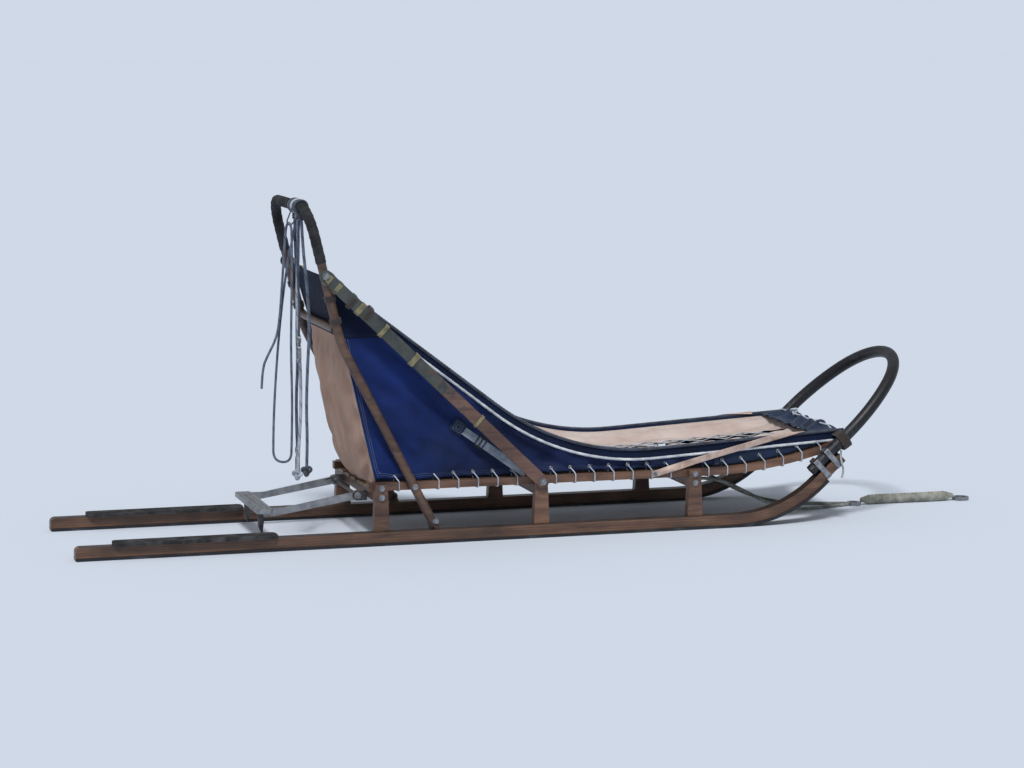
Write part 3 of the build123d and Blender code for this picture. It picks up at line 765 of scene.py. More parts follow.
alloy = metal("alloy", paint(176, 178, 182), paint(142, 145, 150), 0.42, 46.0, 0.00012)
forged = metal("forged", paint(112, 112, 116), paint(66, 62, 60), 0.45, 40.0, 0.0002)
zinc = metal("zinc", paint(172, 174, 178), paint(118, 120, 126), 0.34, 90.0, 0.0001)
wear(alloy, "brake_frame", "nose_bar")
wear(forged, "brake_claws", "brake_lugs", "brake_pin", "brake_springs")
wear(zinc, "bridle_ring", "tow_ring", "bridle_eyes", "line_a_snap", "line_d_snap", "brush_bow_clamps")
print("metals made")

# %% [markdown]
# The bag comes next, and it is cloth, so it isn't a block with a picture of folds. Each panel is a grid
# of points between two edges: the hem above, which falls from the bow and runs out to the nose, and the
# rail below, which curves up. Three short functions give those edges in metres, from the same sizes as
# the frame's.

# %% The edges that carry the bag
hem_handle = Vector((-0.553, 0.762))
hem_corner = Vector((0.155, 0.222))
hem_nose = Vector((1.008, 0.268))
hem_radius = 0.720
back_low = Vector((-0.410, 0.1723))
back_mid = Vector((-0.5091, 0.610))
bed_bend = 0.585
bed_radius = 1.270
bed_low = 0.150
rail_top = 0.022          # over the bed's own level
slat_over = 0.007         # the slats' top, over the same level
slat_top = bed_low + slat_over
bag_half = 0.213          # outside of the side cloth
floor_half = 0.196        # half the bag's width between the rails
flap_start, flap_end = -0.215, 0.940
nose_start, nose_end = 0.605, 1.000

to_handle = (hem_handle - hem_corner).normalized()
to_nose = (hem_nose - hem_corner).normalized()
corner_angle = to_handle.angle(to_nose)
tangent_run = hem_radius / tan(corner_angle / 2)
arc_start = hem_corner + to_handle * tangent_run
arc_end = hem_corner + to_nose * tangent_run
arc_centre = hem_corner + (to_handle + to_nose).normalized() * hem_radius / sin(corner_angle / 2)


def hem_level(x):
    """Height of the hem at a place along the sled."""
    if x < arc_start.x:
        return hem_corner.y + (x - hem_corner.x) * to_handle.y / to_handle.x
    if x > arc_end.x:
        return hem_corner.y + (x - hem_corner.x) * to_nose.y / to_nose.x
    return arc_centre.y - sqrt(hem_radius ** 2 - (x - arc_centre.x) ** 2)


def bed_level(x, over=0.0):
    """Height of the bed's curve, or of a line over it."""
    if x < bed_bend:
        return bed_low + over
    return bed_low + bed_radius - sqrt((bed_radius - over) ** 2 - (x - bed_bend) ** 2)


def back_place(z):
    """x of the bag's leaning back edge."""
    low, high = (back_low, back_mid) if z < back_mid.y else (back_mid, hem_handle)
    return low.x + (high.x - low.x) * (z - low.y) / (high.y - low.y)


def clamp(*values):
    """The smallest of some values, kept between 0 and 1."""
    return max(0.0, min(1.0, *values))


def bumps(x, y, z):
    """Smooth noise at a place, from about -1 to 1."""
    return noise.noise(Vector((x, y, z)))


print("hem at the middle", round(hem_level(0.0), 3), "and the rail there", bed_level(0.0, rail_top))

# %% [markdown]
# A panel is made flat between its edges, with a UV map in metres, so that the weave has one size
# everywhere. Then Blender's cloth solver hangs it: the sewn edges are pinned, the cloth is cut a few
# percent too large, as a bag that breathes is, and the slack falls into folds. A cap keeps the folds
# clear of the wood beside them. The solver leaves a tight panel almost flat, so the long folds that a
# loaded bag keeps are added after it, by `crease`.

# %% Cloth panels


def distances(points):
    """How far each point of a line lies along it."""
    walked = [0.0]
    for before, after in zip(points, points[1:]):
        walked.append(walked[-1] + (after - before).length)
    return walked


def panel(name, columns, rows, place, material, thickness=0.0014):
    """A grid of cloth: place(s, t) gives a point for shares 0 to 1 along it and up it."""
    grid = [[Vector(place(i / columns, j / rows)) for i in range(columns + 1)] for j in range(rows + 1)]
    faces = []
    for j in range(rows):
        for i in range(columns):
            first = j * (columns + 1) + i
            faces.append((first, first + 1, first + columns + 2, first + columns + 1))
    mesh = bpy.data.meshes.new(name)
    mesh.from_pydata([point for row in grid for point in row], [], faces)
    mesh.materials.append(material)
    mesh.shade_smooth()
    across = distances(grid[rows // 2])
    heights = [distances(column) for column in zip(*grid)]
    edge = mesh.attributes.new("edge", "FLOAT", "POINT")
    for index in range(len(mesh.vertices)):
        j, i = divmod(index, columns + 1)
        lengths = (across[i], across[-1] - across[i], heights[i][j], heights[i][-1] - heights[i][j])
        edge.data[index].value = min(lengths)
    layout = mesh.uv_layers.new(name="UVMap")
    for loop in mesh.loops:
        j, i = divmod(loop.vertex_index, columns + 1)
        layout.data[loop.index].uv = (across[i], heights[i][j])
    made = show(name, mesh)
    made["columns"], made["rows"] = columns, rows
    made["flat"] = [across[-1], sum(column[-1] for column in heights) / len(heights)]
    made["area"] = sum(face.area for face in mesh.polygons)
    made["thickness"] = thickness
    return made


print("panels can be cut")

# %% Hanging and creasing


def settle(piece, pinned, slack, cap, stiffness=6.0, ripple=0.002):
    """Hangs a panel and lets its slack fold; pinned(i, j) is each point's hold, 0 to 1."""
    frames = 22
    slide = 0.03
    mesh = piece.data
    rest = [vertex.co.copy() for vertex in mesh.vertices]
    normals = [vertex.normal.copy() for vertex in mesh.vertices]
    group = piece.vertex_groups.new(name="held")
    for vertex in mesh.vertices:
        j, i = divmod(vertex.index, piece["columns"] + 1)
        hold = pinned(i, j)
        group.add([vertex.index], hold, "REPLACE")
        push = noise.noise(vertex.co * 9.0) + 0.5 * noise.noise(vertex.co * 23.0)
        vertex.co += normals[vertex.index] * ripple * push * (1 - hold)
    cloth = piece.modifiers.new("cloth", "CLOTH")
    for key, value in {"vertex_group_mass": "held", "quality": 5, "mass": 0.25, "tension_stiffness": 40,
                       "compression_stiffness": 40, "shear_stiffness": 12, "bending_stiffness": stiffness,
                       "air_damping": 3, "shrink_min": -slack, "shrink_max": -slack}.items():
        setattr(cloth.settings, key, value)
    cloth.point_cache.frame_start = 1
    cloth.point_cache.frame_end = frames
    for number in range(1, frames + 1):
        scene.frame_set(number)
    solved = [vertex.co.copy() for vertex in as_mesh(piece).vertices]
    piece.modifiers.remove(cloth)
    scene.frame_set(1)
    for vertex, start, normal, end in zip(mesh.vertices, rest, normals, solved):
        moved = end - start
        outward = moved.dot(normal)
        limit = cap[0] if outward < 0 else cap[1]
        kept = limit * (2 / (1 + 2.718 ** (-2 * outward / limit)) - 1)
        along = moved - normal * outward
        if along.length > slide:
            along *= slide / along.length
        vertex.co = start + along + normal * kept


def crease(piece, shift):
    """Adds folds to a hung panel; shift(place, s, t) is a point's move, for its shares along and up."""
    columns, rows = piece["columns"], piece["rows"]
    for vertex in piece.data.vertices:
        j, i = divmod(vertex.index, columns + 1)
        vertex.co += Vector(shift(vertex.co, i / columns, j / rows))


print("panels can be hung")

# %% Sewing


def thicken(piece):
    """Gives a panel its thickness, with round edges."""
    solid = piece.modifiers.new("thickness", "SOLIDIFY")
    solid.thickness = piece["thickness"]
    solid.offset = 0
    fine = piece.modifiers.new("fine", "SUBSURF")
    fine.levels = fine.render_levels = 1
    piece.data = as_mesh(piece)
    piece.modifiers.clear()
    return piece


def sew(piece, slot_name, held, rests_on, *stood_for):
    """Gives a panel its thickness and puts it in place of its solids; held and rests_on are not used."""
    ride(slot_name, thicken(piece))
    if stood_for:
        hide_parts(*stood_for)
    width, length = piece["flat"]
    area = min(piece["area"], width * length)
    print(piece.name, "cut", round(width, 3), "by", round(length, 3), "m, area", round(piece["area"], 3))


print("panels can be sewn in")

# %% [markdown]
# Bag cloth is coated nylon and the pale panels are cotton canvas. Both show a weave close up, seams with
# a row of stitches, faded patches and creases. The weave, the fade and the crease relief are noise and
# waves on the UV map, and the stitches follow the panel's own edge distance, which the grid stored as an
# attribute. The colour is darker in the hollows of the crease relief, which is painted shade. The blue
# cloth is also painted darker in front and low down, which is painted shade.

# %% Cloth finishes
stitch_rows = (0.009, 0.015)
thread_half = 0.0009


def woven(name, deep, bright, thread, weave, crease_depth, roughness, drawn_out=(1, 1, 1), **sockets):
    """Woven cloth with fade, creases with painted shade in their hollows, and a double row of stitches near
    its sewn edges.
    """
    made = finish(name, bright, roughness, Specular_IOR_Level=0.22, Sheen_Roughness=0.5, Coat_Roughness=0.5,
                  **sockets)
    warp, weft, _ = split(made, places(made, (2 * pi / weave, 2 * pi / weave, 1), source="UV"))
    along, up, _ = split(made, places(made, source="UV"))
    near = result(made, "ShaderNodeAttribute", {}, "Fac", attribute_name="edge")
    first, second = (abs(near - row) < thread_half for row in stitch_rows)
    stitch = first.larger(second) * (((along + up) * 190.0).fraction() < 0.62)
    fade = mottle(made, 5.0, 8.0, 0.62, 0.4, places(made, drawn_out))
    folds = mottle(made, 11.0, 3.0, 0.5, 0.8)
    # colour: faded patches, plus painted shade that darkens the hollows of the folds relief
    base = spread(made, fade * 0.7 + folds * 0.3, deep, bright, 0.34, 0.66)
    drive(made, "Base Color", blend(made, stitch, base, thread))
    roughen(made, folds, roughness - 0.12, min(0.97, roughness + 0.12))
    emboss(made, warp.wave().larger(weft.wave()), 0.00025)
    emboss(made, mottle(made, 16.0, 5.0, 0.5, kind="RIDGED_MULTIFRACTAL"), crease_depth * 0.5)
    emboss(made, folds, crease_depth * 4)
    emboss(made, stitch, 0.0006)
    return made


blue_cloth = woven("blue_cloth", paint(7, 26, 72), paint(13, 45, 114), paint(104, 118, 146),
                   0.0016, 0.0016, 0.6, Sheen_Weight=0.03, Coat_Weight=0.04)
tan_cloth = woven("tan_cloth", paint(166, 131, 113), paint(196, 164, 146), paint(226, 216, 204),
                  0.0022, 0.0016, 0.9, (1.5, 2, 0.8), Sheen_Weight=0.15)
flap_cloth = woven("flap_cloth", paint(186, 163, 153), paint(214, 200, 193), paint(236, 230, 224),
                   0.0022, 0.0016, 0.9, (1.1, 3, 3), Sheen_Weight=0.15)
navy_cloth = woven("navy_cloth", paint(14, 26, 46), paint(34, 54, 84), paint(104, 112, 126),
                   0.0018, 0.0018, 0.62, Sheen_Weight=0.08)
hood_cloth = woven("hood_cloth", paint(7, 17, 38), paint(17, 34, 68), paint(52, 62, 84),
                   0.0018, 0.0018, 0.78, Sheen_Weight=0.0)

# painted shade: the blue is darkened towards the front and low down, to the dark colour below
forward, _, upward = split(blue_cloth, places(blue_cloth))
ragged = mottle(blue_cloth, 7.0, 6.0, where=places(blue_cloth, (1, 1, 2))) * 0.30
shade_span = {"Value": forward - upward * 0.55 + ragged, "From Min": -0.34, "From Max": -0.10, "To Max": 0.72}
painted_shade = result(blue_cloth, "ShaderNodeMapRange", shade_span)
unshaded_blue = wired(blue_cloth, "Base Color")
drive(blue_cloth, "Base Color", blend(blue_cloth, painted_shade, unshaded_blue, paint(18, 32, 62)))
print("cloth woven")

# %% [markdown]
# Side panels. The lower edge is laced round the rail every six centimetres, so it lifts in shallow
# scallops between the eyelets, and the pulls start folds there. Long shallow folds run down from the bow
# beside the brace, which the cut of the panel gives it. Near the driving bow's leg the wood is only a
# centimetre away: the cap is for that.

# %% Bag sides
lace_pitch = 0.058
lace_lift = 0.006
side_columns, side_rows = 72, 30


def long_fold(x, z, s, t):
    """Outward shift of the cloth by folds that run as the hem does; nothing at the sewn edges."""
    over_it = 0.62 * x + 0.78 * z
    along_it = 0.78 * x - 0.62 * z
    broad = 1 - 2.2 * abs(bumps(over_it * 11, along_it * 1.8, 1.7))
    fine = 1 - 2.0 * abs(bumps(over_it * 27 + 3, along_it * 5, 5.2))
    room = clamp(4 * t, 5 * (0.93 - t), 30 * (hem_level(x) - z - 0.028), 12 * s, 12 * (1 - s))
    pleat = sin(2 * pi * (x - back_low.x) / lace_pitch) * clamp(1 - 3.2 * t) * clamp(8 * t)
    return (0.018 * (broad - 0.62) + 0.008 * (fine - 0.6)) * room + 0.0030 * pleat


def side_point(side):
    """The side panel's place function."""
    y = side * (bag_half - 0.0015)

    def place(s, t):
        low_x = back_low.x + (nose_start - back_low.x) * s
        high_x = back_mid.x + (nose_start - back_mid.x) * s
        lift = lace_lift + 0.006 * abs(sin(pi * (low_x - back_low.x) / lace_pitch)) * clamp(1 - 6 * t)
        low = Vector((low_x, y, bed_level(low_x, rail_top) + lift))
        high = Vector((high_x, y, min(back_mid.y - 0.001, hem_level(high_x) - 0.002)))
        return low.lerp(high, t)
    return place


def side_hold(i, j):
    """The side panel is held along its hem, its two ends and, below, at its eyelets."""
    if j > side_rows - 5 or i in (0, side_columns):
        return 1.0
    if j == 0:
        return 1.0 if i % 4 == 0 else 0.35
    return 0.0


for side, sign in both_sides:
    cloth = panel("bag_side_cloth_" + side, side_columns, side_rows, side_point(sign), blue_cloth)
    settle(cloth, side_hold, 0.03, (0.008, 0.004))
    crease(cloth, lambda place, s, t: (0, sign * long_fold(place.x, place.z, s, t), 0))
    sew(cloth, "bag_blue", "stretched", ["hem_rope_" + side, "bed_rail_" + side], "bag_side_" + side)

# %% [markdown]
# Rear wall and floor. The wall hangs from the crossbar and is tied at its foot, so it drops into long
# soft folds that fan out from its upper corners. The floor lies flat on the slats, with small random bumps.

# %% Rear wall and floor
wall_columns, wall_rows = 36, 40


def rear_point(s, t):
    """The rear wall, narrower where it stands between the rails."""
    z = slat_top + 0.003 + (back_mid.y + 0.002 - slat_top - 0.003) * t
    half = floor_half + (0.2085 - floor_half) * clamp((z - 0.166) / 0.02)
    return back_place(z) + 0.0045, half * (2 * s - 1), z


def rear_hold(i, j):
    """The wall is held round the crossbar, at its two sides and at the ties of its foot."""
    return 1.0 if j > wall_rows - 5 or i in (0, wall_columns) or (j == 0 and i % 6 == 0) else 0.0


def draped(place, s, t):
    """The rear wall's vertical folds, which stand out backwards."""
    fold = 1 - 2.3 * abs(bumps(place.y * 11, place.z * 1.6, 3.3))
    return -0.014 * fold * clamp(5 * t, 4 * (0.90 - t), 9 * s, 9 * (1 - s)), 0, 0


def floor_point(s, t):
    """The floor cloth, just over the slats, with small random bumps."""
    x = back_place(slat_top) + 0.006 + (nose_start - 0.002 - back_place(slat_top) - 0.006) * s
    y = floor_half * (2 * t - 1)
    return x, y, bed_level(x, slat_over) + 0.0026 + 0.0016 * bumps(x * 7, y * 9, 1.0)


rear = panel("bag_rear_cloth", wall_columns, wall_rows, rear_point, tan_cloth)
settle(rear, rear_hold, 0.05, (0.022, 0.004), ripple=0.005)
crease(rear, draped)
sew(rear, "bag_tan", "hung", ["bow_crossbar"], "bag_rear")
ground = panel("bag_floor_cloth", 60, 24, floor_point, navy_cloth)
sew(ground, "bag_navy", "laid", ["bed_slats"], "bag_floor")

# %% [markdown]
# The hood is the dark collar of the bag at the driving bow: one cloth that runs forward along each hem
# and round the back, between the bow's legs. It is made as one grid that goes round, so that its corners
# are folds and not seams.

# %% Hood
hood_low = 0.584
hood_high = 0.762
hood_corner = 0.011
hood_half = bag_half + 0.0005
hem_fall = 0.7627         # how steeply the hem falls from the bow


def hood_point(s, t):
    """From the left cheek's front edge, round the back, to the right cheek's front edge."""
    z = hood_low + (hood_high - 0.002 - hood_low) * t
    back = back_place(z) + 0.0015
    to_hem = hem_handle.x + (hem_handle.y - z) / hem_fall - back - 0.02
    run = max(0.012, 0.02 + to_hem * clamp(1 - max(0.0, z - hood_high + 0.03) / 0.4))
    cheek, bend, width = run - hood_corner, pi / 2 * hood_corner, 2 * (hood_half - hood_corner)
    total = 2 * cheek + 2 * bend + width
    d = min(s, 1 - s) * total
    if d < cheek:
        x, y = back + run - d, hood_half
    elif d < cheek + bend:
        turn = (d - cheek) / hood_corner
        x = back + hood_corner - hood_corner * sin(turn)
        y = hood_half - hood_corner + hood_corner * cos(turn)
    else:
        x, y = back, hood_half - hood_corner - (d - cheek - bend)
    wave = 0.0016 * bumps(x * 22, y * 14, z * 20) * clamp(4 * t)
    return x + max(0.0, wave), (-y if s > 0.5 else y), z


hood = panel("bag_hood_cloth", 96, 18, hood_point, hood_cloth)
sew(hood, "bag_navy", "stretched", ["driving_bow", "hem_rope_left", "hem_rope_right"], "bag_hood")

# %% [markdown]
# The two flaps close the top of the bag. Each is sewn to its hem and laced to the other along the
# middle, with more cloth than the gap needs, so it sags in folds that run lengthwise. This is the one
# place where gravity does most of the modelling.

# %% Top flaps
slit_half = 0.024
flap_drop = 0.018
flap_tuck = 0.010
flap_columns, flap_rows = 60, 16


def flap_point(side):
    """A flap's place function, from its hem to its free edge."""
    def place(s, t):
        x = flap_start + (flap_end - flap_start) * s
        hem = hem_level(x) - flap_tuck
        closing = max(0.0, (s - 0.86) / 0.14)
        outer = Vector((x, side * (bag_half - 0.004), hem + 0.002))
        inner = Vector((x, side * slit_half * (1 - 0.9 * closing), hem - flap_drop * (1 - 0.6 * closing)))
        return outer.lerp(inner, t)
    return place


def flap_hold(i, j):
    """Held along the hem and both ends, and at the lacing's eyelets on the free edge."""
    if j == 0 or i in (0, flap_columns):
        return 1.0
    if j == flap_rows:
        return 1.0 if i % 4 == 0 else 0.8
    return 0.0


def lengthwise(place, s, t):
    """The folds along a flap, which die out at its hem, its ends and its lacing."""
    fold = 1 - 2.2 * abs(bumps(place.x * 2.2, place.y * 17, 7.0))
    return 0, 0, 0.011 * (fold - 0.6) * clamp(5 * t, 4 * (1 - t), 10 * s, 10 * (1 - s))


for side, sign in both_sides:
    flap = panel("flap_cloth_" + side, flap_columns, flap_rows, flap_point(sign), flap_cloth)
    settle(flap, flap_hold, 0.035, (0.022, 0.022), stiffness=3.0, ripple=0.003)
    crease(flap, lengthwise)
    sew(flap, "flap_tan", "stretched", ["hem_rope_" + side], "bag_flap_" + side)

# %% [markdown]
# The nose is dark cloth again. It is a shallow tray between the rails' upturned ends: down from one hem,
# across the slats, and up to the other hem, with its front gathered up to close it.

# %% Nose
tray_front = nose_end - 0.006


def tray_point(s, t):
    """Across the nose from the left hem to the right, at a share along it."""
    x = nose_start - 0.002 + (tray_front - nose_start + 0.002) * t
    over_rail = bed_level(x, rail_top) + 0.004
    low = bed_level(x, slat_over) + 0.0035
    half = bag_half - 0.0012
    outline = [(half, hem_level(x) - 0.001), (half, over_rail), (floor_half, over_rail - 0.002),
               (floor_half - 0.002, low), (0.0, low)]
    lengths = [0.0]
    for before, after in zip(outline, outline[1:]):
        lengths.append(lengths[-1] + sqrt((after[0] - before[0]) ** 2 + (after[1] - before[1]) ** 2))
    d = (2 * s if s < 0.5 else 2 - 2 * s) * lengths[-1]
    for before, after, start, end in zip(outline, outline[1:], lengths, lengths[1:]):
        if d <= end + 1e-9:
            break
    share = (d - start) / (end - start)
    y = before[0] + (after[0] - before[0]) * share
    z = before[1] + (after[1] - before[1]) * share
    pleat = 0.0022 * sin(60 * s * pi) * clamp((t - 0.55) * 3)
    return x, (y if s < 0.5 else -y), z + abs(pleat) + 0.0012 * bumps(x * 20, y * 20, z * 20)


def lip_point(s, t):
    """The gathered front of the nose: up from the slats, and a fold back over the top."""
    y = (bag_half - 0.002) * (2 * s - 1)
    front = tray_front + 0.004
    over = rail_top if abs(y) > floor_half - 0.004 else slat_over
    low = bed_level(front, over) + 0.004
    high = hem_level(front) + 0.001
    uneven = 6.5 * s + 1.1 * bumps(y * 8, t * 1.5, 2.0)
    gather = (0.0075 * sin(2 * pi * uneven) + 0.009 * bumps(y * 17, t * 3, 4.0)) * clamp(9 * s, 9 * (1 - s))
    if t < 0.4:
        rise = t / 0.4
        return front + gather * (1 - 0.4 * rise) - 0.004, y, low + (high - low) * rise
    back = (t - 0.4) / 0.6
    x = front - 0.004 + gather * 0.6 * (1 - back) - 0.085 * back
    swell = sin(pi * min(1.0, back * 1.3)) * (0.6 + bumps(y * 14, back * 3, 9.0))
    puff = 0.014 * swell * clamp(12 * s, 12 * (1 - s))
    return x, y * (1 - 0.01 * back), high + puff + gather * (1.1 - 0.7 * back) - 0.007 * back


tray = panel("bag_nose_cloth", 90, 34, tray_point, navy_cloth)
sew(tray, "bag_navy", "gathered", ["bed_rail_left", "bed_rail_right", "bed_slats"],
    "bag_nose", "bag_nose_floor")
lip = panel("nose_lip_cloth", 110, 18, lip_point, navy_cloth)
sew(lip, "bag_navy", "gathered", ["bag_nose_cloth"])
print("bag sewn")

# %% [markdown]
# Hem ropes give the bag its line. Each is a laid rope sewn along the hem, over a dark binding tape, and
# a pale piping runs below the tape, which is a cord in folded cloth. All three follow the hem's own
# function, so they lie on the cloth's edge everywhere.

# %% Hem ropes, binding and piping
binding_start, binding_end, binding_width = -0.500, 0.985, 0.023


def binding_point(side):
    """The binding tape's place function."""
    def place(s, t):
        x = binding_start + (binding_end - binding_start) * s
        return x, side * (bag_half + 0.0022), hem_level(x) - 0.003 - binding_width * (1 - t)
    return place


def along_hem(side, below, outside, first, last, count=70):
    """Points beside the hem, at a distance below it and outside the cloth."""
    stations = [first + (last - first) * step / count for step in range(count + 1)]
    return [Vector((x, side * (bag_half + outside), hem_level(x) - below)) for x in stations]


piping = fibre("piping", paint(150, 158, 170), paint(222, 226, 230), 0.7)
for side, sign in both_sides:
    on_hem = along_hem(sign, 0.0, 0.0048, hem_handle.x, hem_nose.x)
    rope = grow(spline_of("hem_rope_laid_" + side, on_hem), rope_tree, rope_dark,
                Diameter=0.0092, Pitch=0.03, Strands=3.0, Depth=0.22)
    ride("hem_rope", rope)
    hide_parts("hem_rope_" + side)
    binding = panel("hem_binding_" + side, 90, 3, binding_point(sign), hood_cloth, 0.0016)
    sew(binding, "bag_navy", "stretched", ["hem_rope_" + side])
    under_tape = along_hem(sign, 0.0295, 0.0018, -0.44, 0.982)
    ride("line_rope_pale", grow(spline_of("hem_piping_" + side, under_tape), rope_tree, piping,
                                Diameter=0.0085, Pitch=0.050, Strands=2.0, Depth=0.10))
print("hem ropes", round(length_of(on_hem), 3), "m each")

# %% [markdown]
# The grip is tape wound up the bow, so each turn overlaps the last. The wrapped profile does that: its
# radius grows once round and then drops, and as the profile turns along the bar, the drop becomes the
# tape's spiral edge.

# %% Grip tape
bow_y = 0.2383
bow_top = Vector((-0.6023, 0.950))
bow_lean = radians(13.5)
bow_slope = tan(bow_lean)
grip_leg = 0.150
corner_radius = 0.080
tape_pitch = 0.024


def rounded(points, radius, steps=8):
    """A line with its inner corners as arcs."""
    line = [points[0]]
    for before, here, after in zip(points, points[1:], points[2:]):
        into, out = (before - here).normalized(), (after - here).normalized()
        angle = into.angle(out)
        run = radius / tan(angle / 2)
        centre = here + (into + out).normalized() * radius / sin(angle / 2)
        first, last = (here + into * run - centre).normalized(), (here + out * run - centre).normalized()
        for step in range(steps + 1):
            line.append(centre + first.slerp(last, step / steps) * radius)
    return line + [points[-1]]


low_x, low_z = bow_top.x + grip_leg * bow_slope, bow_top.y - grip_leg
grip_corners = ((low_x, bow_y, low_z), (bow_top.x, bow_y, bow_top.y), (bow_top.x, -bow_y, bow_top.y),
                (low_x, -bow_y, low_z))
grip_line = rounded([Vector(corner) for corner in grip_corners], corner_radius)
tape = rubber("tape", paint(16, 17, 20), paint(58, 60, 66))
grip = grow(spline_of("grip_tape", grip_line), sleeve_tree, tape,
            Diameter=0.0310, Pitch=tape_pitch, Depth=0.075)
ride("grip_tape", grip)
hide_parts("driving_bow_grip")
print("tape wound, about", round(length_of(grip_line) / tape_pitch), "turns")

# %% [markdown]
# A sled of this kind is tied more than it is bolted: cord is wound round two pieces, pulled tight and
# finished with a hitch, and the joint gives a little over bumps. One tree makes every winding. Its input
# is one turn, drawn as a few corners; it rounds the corners, repeats the turn by a step, shakes each a
# little and gives it the cord's thickness. Lacing loops and eyelets are the same thing with one turn.

# %% Windings
winding_tree, given = new_tree("windings", Count="Int", Step="Vector", Cord="Float", Corner="Float",
                               Wobble="Float", Seed="Int")
rounding = {"Curve": given["Geometry"], "Count": 4, "Radius": given["Corner"], "Limit Radius": True}
softened = result(winding_tree, "GeometryNodeFilletCurve", rounding, mode="POLY")
spacing = {"Curve": softened, "Length": 0.004}
one_turn = result(winding_tree, "GeometryNodeResampleCurve", spacing, mode="LENGTH")
steps = {"Count": given["Count"], "Offset": given["Step"]}
stations = result(winding_tree, "GeometryNodeMeshLine", steps, mode="OFFSET")
repeated = result(winding_tree, "GeometryNodeInstanceOnPoints", {"Points": stations, "Instance": one_turn})
real = result(winding_tree, "GeometryNodeRealizeInstances", {0: repeated})
here = result(winding_tree, "GeometryNodeInputPosition", {})
cloud = {"Vector": here, "W": given["Seed"], "Scale": 90.0, "Detail": 1.0}
shake = result(winding_tree, "ShaderNodeTexNoise", cloud, "Color", noise_dimensions="4D")
centred = result(winding_tree, "ShaderNodeVectorMath", {0: shake, 1: (0.5, 0.5, 0.5)}, operation="SUBTRACT")
wobbling = {0: centred, "Scale": given["Wobble"]}
shift = result(winding_tree, "ShaderNodeVectorMath", wobbling, operation="SCALE")
shaken = result(winding_tree, "GeometryNodeSetPosition", {"Geometry": real, "Offset": shift})
thickness = {"Resolution": 7, "Radius": given["Cord"] * 0.5}
round_cord = result(winding_tree, "GeometryNodeCurvePrimitiveCircle", thickness)
close_tree(winding_tree, given, swept(winding_tree, shaken, round_cord))


def wind(name, turns, material, cord, count=1, step=(0, 0, 0), corner=0.004, wobble=0.0014, closed=True):
    """Cord wound along the turns, each a list of corners, and repeated by a step."""
    curve = bpy.data.curves.new(name, "CURVE")
    curve.dimensions = "3D"
    for corners in turns:
        spline = curve.splines.new("POLY")
        spline.points.add(len(corners) - 1)
        for point, place in zip(spline.points, corners):
            point.co = (*place, 1.0)
        spline.use_cyclic_u = closed
    return grow(show(name, curve), winding_tree, material, Count=count, Step=step, Cord=cord, Corner=corner,
                Wobble=wobble, Seed=len(name))


def lash(name, centre, ways, half_across, half_other, count, cord, material):
    """A lashing of several turns round a bundle; ways are the bundle's direction and one square to it."""
    along, across = (Vector(way).normalized() for way in ways)
    other = along.cross(across)
    reach_a, reach_b = half_across + cord / 2, half_other + cord / 2
    step = along * cord * 1.02
    first = Vector(centre) - step * (count - 1) / 2
    turn = [first + across * a * reach_a + other * b * reach_b
            for a, b in ((1, 1), (-1, 1), (-1, -1), (1, -1))]
    return wind(name, [turn], material, cord, count, tuple(step), corner=min(half_across, half_other) * 0.9)


print("winding tree has", len(winding_tree.nodes), "nodes")

# %% [markdown]
# Where the lashings go: the brace's top end to the bow's leg, the crossbar's ends, the brace itself, and
# the nose, where each rail's tip is tied to the brush bow. A lashing's half sizes are those of the
# bundle that it holds, so its turns lie on the wood. The brace carries four pale whippings as well, over
# old splits.

# %% Lashings
knee = Vector((-0.5111, 0.570))


def leg_x(z):
    """x of the driving bow's leg at a height."""
    return knee.x - (z - knee.y) * bow_slope


def tilted(x, z):
    """A direction in the plane of length and height, and the one square to it."""
    return Vector((x, 0, z)), Vector((-z, 0, x))


def on_brace(share, y):
    """A place at a share of the brace's length."""
    place = brace_low.lerp(brace_high, share)
    return place.x, y, place.y


def tie_both(name, slot_name, material, rows):
    """The same lashings on both sides, as one piece."""
    made = []
    for side, sign in both_sides:
        for label, (x, y, z), *rest in rows:
            made.append(lash(f"{label}_{side}", (x, sign * y, z), *rest, material))
    ride(slot_name, merged(name, made))


brace_low = Vector((0.070, 0.161))
brace_high = Vector((leg_x(0.765), 0.765))
brace_along = (brace_high - brace_low).normalized()
brace_mid = 0.2576        # from the sled's middle to the middle of a brace
with_leg = 0.2445         # and to the middle of brace and leg together
brace_ways = tilted(*brace_along)
nose_ways = tilted(cos(radians(33)), sin(radians(33)))
leg_ways = tilted(cos(bow_lean), sin(bow_lean))[::-1]
foot_ways = tilted(cos(radians(27)), sin(radians(27)))[::-1]
bar_ways = ((0, 1, 0), (1, 0, 0))
brace_half = (0.0176, 0.0061)       # half the bundle's two sizes: a brace alone
joint_half = (0.0175, 0.0192)       # brace and leg together
leg_half = (0.0131, 0.0131)
pale_cord, dark_cord = 0.0032, 0.0034
tie_both("brace_lashings", "line_rope_pale", lash_pale, (
    ("brace_top_0", on_brace(0.985, with_leg), brace_ways, *joint_half, 4, pale_cord),
    ("brace_top_1", on_brace(0.945, with_leg), brace_ways, *joint_half, 4, pale_cord),
    ("brace_whipping_0", on_brace(0.845, brace_mid), brace_ways, *brace_half, 5, pale_cord),
    ("brace_whipping_1", on_brace(0.74, brace_mid), brace_ways, *brace_half, 4, pale_cord),
    ("brace_whipping_2", on_brace(0.60, brace_mid), brace_ways, *brace_half, 5, pale_cord),
    ("brace_whipping_3", on_brace(0.30, brace_mid), brace_ways, *brace_half, 3, pale_cord),
))
